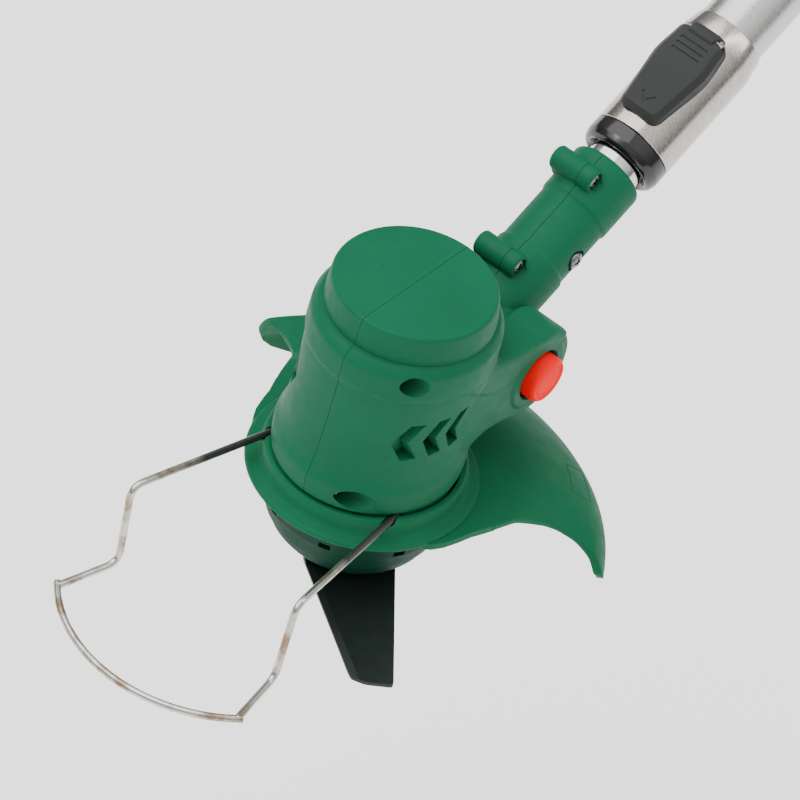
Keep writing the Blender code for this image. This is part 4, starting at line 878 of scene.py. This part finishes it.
# ---------------------------------------------------------------- rear handle, battery, front handle
HANDLE_OUTER = (
    # along the pole, above it, corner radius
    (430.0, 20.0, 6.0), (462.0, 21.0, 12.0), (486.0, 28.0, 18.0), (536.0, 27.0, 22.0), (572.0, 15.0, 12.0),
    (592.0, 14.0, 6.0), (592.0, -62.0, 6.0), (562.0, -64.0, 9.0), (488.0, -58.0, 16.0), (460.0, -34.0, 14.0),
    (450.0, -23.0, 9.0), (430.0, -22.0, 6.0))
FINGER_GAP = (
    (482.0, -5.0, 8.0), (552.0, -7.0, 12.0), (560.0, -40.0, 12.0), (496.0, -40.0, 12.0), (482.0, -24.0, 8.0))
HANDLE_SCREWS = ((444.0, -18.2), (530.0, 17.0), (577.0, 2.0))
HANDLE_W = 17.0


def rounded(table, count=9):
    """A closed outline from (x, y, corner radius)."""
    outline = []
    points = [Vector(row[:2]) for row in table]
    for i, (*_, radius) in enumerate(table):
        corner = points[i]
        back = (points[i - 1] - corner).normalized()
        on = (points[(i + 1) % len(points)] - corner).normalized()
        half = back.angle(on) / 2
        reach = radius / max(0.05, sin(half) / cos(half))
        outline += [tuple(p) for p in curve(corner + back * reach, corner, corner + on * reach, count)]
    return outline


def rear_handle():
    place = side_frame()
    seam, far = 0.12, 60.0
    shell = slab(rounded(HANDLE_OUTER), -HANDLE_W, HANDLE_W, place, 5.0, [rounded(FINGER_GAP)])
    room = [(466.0, 15.0), (486.0, 22.5), (534.0, 21.5), (570.0, 9.5), (586.0, 9.0), (586.0, -54.0),
            (568.0, -56.0), (565.0, -1.5), (478.0, -1.5)]
    tools = [slab(room, 3.0 - HANDLE_W, HANDLE_W - 3.0, place),
             rod(OUTER_R + 0.3, 470.3, 420.0, pole_matrix()),
             block((464.0, -9.0, -6.2), (506.0, 4.0, 6.2), place, 0),
             block((481.0, -16.0, -6.2), (486.0, -2.0, 6.2), place, 0),
             rod(4.6, 30.0, -30.0, pole_cross(*LOCK_OFF)),
             block((584.0, -48.0, -12.0), (594.0, -7.0, 12.0), place, 0)]
    for s, up in HANDLE_SCREWS:
        tools.append(rod(3.5, 40.0, 14.0, pole_cross(s, up)))
    for side in (RIGHT, LEFT):
        for i in range(5):
            low, high = sorted((side * (HANDLE_W - 0.8), side * (HANDLE_W + 2.0)))
            tools.append(block((568.0 + i * 4.2, -40.0, low), (570.0 + i * 4.2, -14.0, high), place, 0))
    solid = carved(shell, tools, sharp=35.0)
    for side, end in SIDES:
        low, high = sorted((side * seam, side * -far))
        half = carved(solid.copy(), [block((400.0, -100.0, low), (620.0, 60.0, high), place, 0)], sharp=35.0)
        show(f"grip_shell_{end}", half, GREEN, "handle", f"handle_{end}", slot="handle_plastic")
    for i, (s, up) in enumerate(HANDLE_SCREWS):
        screw(f"grip_screw_{i + 1}", pole_cross(s, up, HANDLE_W - 0.5), "handle", f"handle_screw_{i + 1}",
              length=20.0)
    outline = rounded(((494.0, 19.0, 6.0), (546.0, 16.0, 6.0), (546.0, 0.0, 5.0), (494.0, 2.0, 5.0)))
    for side, end in SIDES:
        low, high = sorted((side * (HANDLE_W - 0.4), side * (HANDLE_W + 0.7)))
        sheet = slab(outline, low, high, place, 0.4)
        near, out = side * (HANDLE_W + 0.35), side * (HANDLE_W + 2.0)
        ribs = [block((498.0 + i * 4.0, 1.0, near), (500.2 + i * 4.0, 17.5, out), place, 0)
                for i in range(12)]
        show(f"grip_pad_{end}", carved(sheet, ribs), RUBBER, "handle", slot="black_plastic")


def rear_controls():
    place = side_frame()
    lever = rounded(((465.5, 1.0, 1.0), (480.0, 1.0, 1.0), (503.0, -2.2, 1.5), (503.0, -7.0, 2.0),
                     (496.0, -15.0, 3.0), (488.0, -15.5, 3.0), (483.0, -8.5, 3.0), (466.0, -3.0, 1.0)))
    hole = arc(*TRIGGER_AXLE, 1.6, 0, 345, 24)
    show("pull_trigger", slab(lever, -5.6, 5.6, place, 1.0, [hole]), BLACK, "trigger", "trigger",
         slot="black_plastic")
    pin = rod(1.3, 6.0, -6.0, pole_cross(*TRIGGER_AXLE), 0.2, 32)
    show("pull_pin", pin, STEEL, "handle", "trigger_pin", slot="screw_steel")
    lock = [(0, 20.4), (3.2, 20.4), (4.2, 19.4), (4.2, -19.4), (3.2, -20.4), (0, -20.4)]
    show("safety_button", turned(lock, pole_cross(*LOCK_OFF), 0.5, 64), BLACK, "lock_off",
         "lock_off_button", slot="black_plastic")


def battery():
    place = side_frame()
    low, high = BATTERY_START, BATTERY_END
    case = block((low + 0.3, -64.0, -31.0), (high, -1.0, 31.0), place, 5.0, 5)
    case = carved(case, [block((573.5, -46.0, -11.0), (low + 4.0, -9.0, 11.0), place, 0.6)], "UNION")
    tools = []
    for side in (RIGHT, LEFT):
        tools.append(block((570.0, -34.0, side * 5.0 - 1.4), (590.0, -16.0, side * 5.0 + 1.4), place, 0))
        near, far = sorted((side * 30.2, side * 34.0))
        for i in range(6):
            tools.append(block((604.0 + i * 4.6, -54.0, near), (606.2 + i * 4.6, -12.0, far), place, 0))
    show("pack_case", carved(case, tools, sharp=35.0), BLACK, "battery", "battery_case", slot="black_plastic")
    lid = block((low + 0.3, -0.7, -31.0), (high, 11.0, 31.0), place, 4.0, 5)
    tools = [block((low + 14.0, 1.0, -9.3), (low + 30.0, 14.0, 9.3), place, 0.3)]
    for k in (-3, -1, 1, 3):
        tools.append(block((low + 37.0, 10.4, k * 2.6 - 1.3), (low + 40.0, 13.0, k * 2.6 + 1.3), place, 0.2))
    show("pack_lid", carved(lid, tools, sharp=35.0), GREY, "battery", "battery_lid", slot="grey_plastic")
    latch = block((low + 14.4, 4.6, -8.9), (low + 29.6, 12.6, 8.9), place, 1.2, 4)
    ribs = [block((low + 17.0 + i * 2.6, 12.1, -6.0), (low + 18.0 + i * 2.6, 14.0, 6.0), place, 0)
            for i in range(4)]
    show("pack_latch", carved(latch, ribs, sharp=35.0), RED, "battery_latch", "battery_latch",
         slot="red_plastic")


def front_handle():
    """The clamp on the outer tube, the bail with its soft grip, and the knob on its bolt."""
    s, up = CLAMP_S, CLAMP_UP
    grip_up = 106.0
    ring = turned([(19.2, s + 14), (19.2, s - 14), (OUTER_R + 0.32, s - 14), (OUTER_R + 0.32, s + 14)],
                  pole_matrix(), 1.2, 128, closed=True)
    lug = block((-7.0, s - 9.0, 15.5), (7.0, s + 9.0, up + 9.0), pole_deck(), 3.0, 5)
    clamp = carved(ring, [lug], "UNION")
    clamp = carved(clamp, [rod(3.3, 20.0, -20.0, pole_cross(s, up)),
                           rod(OUTER_R + 0.32, s + 20, s - 20, pole_matrix(), 0, 128)], sharp=35.0)
    show("clamp_ring", clamp, BLACK, "handle", "aux_clamp", slot="black_plastic")
    half = [(13.6, 0.0, 3.0), (14.2, 0.0, 24.0), (54.0, 0.0, 52.0), (54.0, 0.0, grip_up)]
    path = bent(half + [(-x, y, z) for x, y, z in reversed(half)], 22.0, 14)
    bar = tube(path, 6.2, pole_deck(s, up), 32)
    eyes = [rod(9.0, side * 18.5, side * 7.5, pole_cross(s, up), 0.8, 64) for side in (RIGHT, LEFT)]
    bail = melted([bar, *eyes], 0.8, 3)
    bail = carved(bail, [rod(3.3, 40.0, -40.0, pole_cross(s, up))], sharp=40.0)
    show("front_bail", bail, BLACK, "front_handle", "aux_handle", slot="black_plastic")
    soft = tube([(44.0, 0, grip_up), (-44.0, 0, grip_up)], 7.0, pole_deck(s, up), 48)
    axis = pole_deck(s, up) @ Matrix.Translation((0, 0, grip_up)) @ Matrix.Rotation(pi / 2, 4, "Y")
    rings = []
    for i in range(15):
        x = -35.0 + i * 5.0
        groove = [(8.0, x + 0.7), (8.0, x - 0.7), (6.5, x - 0.7), (6.5, x + 0.7)]
        rings.append(turned(groove, axis, 0, 48, closed=True))
    show("front_grip", carved(soft, rings), RUBBER, "front_handle", slot="black_plastic")
    bolt = [(0, 31.8), (3.0, 31.8), (3.0, -20.3), (6.0, -20.3), (6.0, -23.4), (4.6, -24.3), (0, -24.3)]
    show("clamp_bolt", turned(bolt, pole_cross(s, up), 0.4, 64), STEEL, "front_knob", "aux_bolt",
         slot="screw_steel")
    lobes = []
    for i in range(120):
        angle = radians(i * 3)
        radius = 12.4 + 1.5 * cos(5 * angle)
        lobes.append((radius * cos(angle), radius * sin(angle)))
    grip = slab(lobes, 20.2, 34.8, pole_cross(s, up), 1.6)
    grip = carved(grip, [rod(3.3, 32.2, 18.0, pole_cross(s, up))])
    show("clamp_knob", grip, BLACK, "front_knob", "aux_knob", slot="black_plastic")


def inner_parts():
    """CAD pieces that show only through a gap keep their shape and get a finish."""
    finishes = {
        "housing_screw_upper": DARK_STEEL, "housing_screw_lower": DARK_STEEL, "motor_can": STEEL,
        "lower_bushing": COPPER, "motor_end_cap": BLACK, "upper_bushing": COPPER, "magnet_right": GREY,
        "magnet_left": GREY, "brush_right": GREY, "brush_left": GREY, "motor_shaft": STEEL,
        "armature": COPPER, "cooling_fan": BLACK, "tilt_lock_gear": STEEL, "tilt_spring": STEEL,
        "tube_bush": GREY, "trigger_switch": BLACK, "battery_cells": GREY, "terminal_right": COPPER,
        "terminal_left": COPPER}
    for node, finish in finishes.items():
        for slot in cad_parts[node].material_slots:
            slot.material = finish


# ---------------------------------------------------------------- stage, light and camera
def floor():
    bm = bmesh.new()
    bmesh.ops.create_grid(bm, x_segments=1, y_segments=1, size=6000.0)
    bmesh.ops.translate(bm, vec=(0, 0, FLOOR_Z), verts=bm.verts)
    mesh = finished(bm)
    n = Nodes("floor")
    n.feed(Base_Color=(0.94, 0.94, 0.94), Roughness=0.9)
    n.feed(Emission_Color=(1.0, 1.0, 1.0), Emission_Strength=0.45)
    mesh.materials.append(n.material)
    linked("floor", mesh)


def lamp(name, place, target, width, length, power):
    """An area lamp aimed at a point, in metres and watts."""
    data = bpy.data.lights.new(name, "AREA")
    data.shape = "RECTANGLE"
    data.size = width
    data.size_y = length
    data.energy = power
    obj = linked(name, data)
    obj.location = place
    obj.rotation_euler = (Vector(target) - Vector(place)).to_track_quat("-Z", "Y").to_euler()


def sky():
    """A white world that gets brighter towards the zenith and towards +X."""
    world = bpy.data.worlds.new("studio")
    bpy.context.scene.world = world
    world.use_nodes = True
    nodes, links = world.node_tree.nodes, world.node_tree.links
    background = nodes["Background"]
    background.inputs["Color"].default_value = (1.0, 1.0, 1.0, 1.0)
    way = nodes.new("ShaderNodeTexCoord")
    split = nodes.new("ShaderNodeSeparateXYZ")
    links.new(way.outputs["Generated"], split.inputs[0])
    both = nodes.new("ShaderNodeMath")
    both.operation = "MULTIPLY"
    gradients = (("Z", (0.0, 0.85, 0.22, 1.5)), ("X", (-0.8, 0.7, 0.65, 1.15)))
    for index, (axis, limits) in enumerate(gradients):
        ramp = nodes.new("ShaderNodeMapRange")
        for key, value in zip(("From Min", "From Max", "To Min", "To Max"), limits):
            ramp.inputs[key].default_value = value
        links.new(split.outputs[axis], ramp.inputs["Value"])
        links.new(ramp.outputs["Result"], both.inputs[index])
    links.new(both.outputs[0], background.inputs["Strength"])


def light():
    """A soft sun from the front left, a key lamp and a long strip behind."""
    sky()
    data = bpy.data.lights.new("sun", "SUN")
    data.energy = 2.6
    data.angle = radians(70)
    sun = linked("sun", data)
    sun.rotation_euler = Vector((0.45, 0.25, -1.0)).to_track_quat("-Z", "Y").to_euler()
    lamp("key", (-0.7, -0.9, 1.5), (0, 0.05, 0.08), 0.5, 0.5, 5.0)
    lamp("strip", (0.9, 0.9, 1.3), (0, 0.2, 0.15), 0.15, 1.6, 5.0)


def camera():
    """A long lens looking down at the head from its front right."""
    azimuth, elevation, roll = radians(29.99), radians(41.99), radians(14.19)
    distance, lens, sensor, far = 2500.0, 324.3375, 36.0, 100.0
    aim = Vector((0, 0, 125.0))
    aim_right, aim_down = 2.4037, -38.6889      # where the aim lies from the picture's middle
    back = Vector((sin(azimuth) * cos(elevation), -cos(azimuth) * cos(elevation), sin(elevation)))
    level = Vector((cos(azimuth), sin(azimuth), 0))
    down = (-back).cross(level)
    right = level * cos(roll) - down * sin(roll)
    down = level * sin(roll) + down * cos(roll)
    place = aim + back * distance - right * aim_right - down * aim_down
    data = bpy.data.cameras.new("camera")
    data.sensor_width = sensor
    data.lens = lens
    data.clip_end = far
    obj = linked("camera", data)
    turn = Matrix((right, -down, back)).transposed().to_4x4()
    obj.matrix_world = Matrix.Translation(place * MM) @ turn
    bpy.context.scene.camera = obj


casing()
button()
guard()
bowl()
blade()
wire()
neck()
pole()
lever()
rear_handle()
rear_controls()
battery()
front_handle()
inner_parts()
floor()
light()
camera()
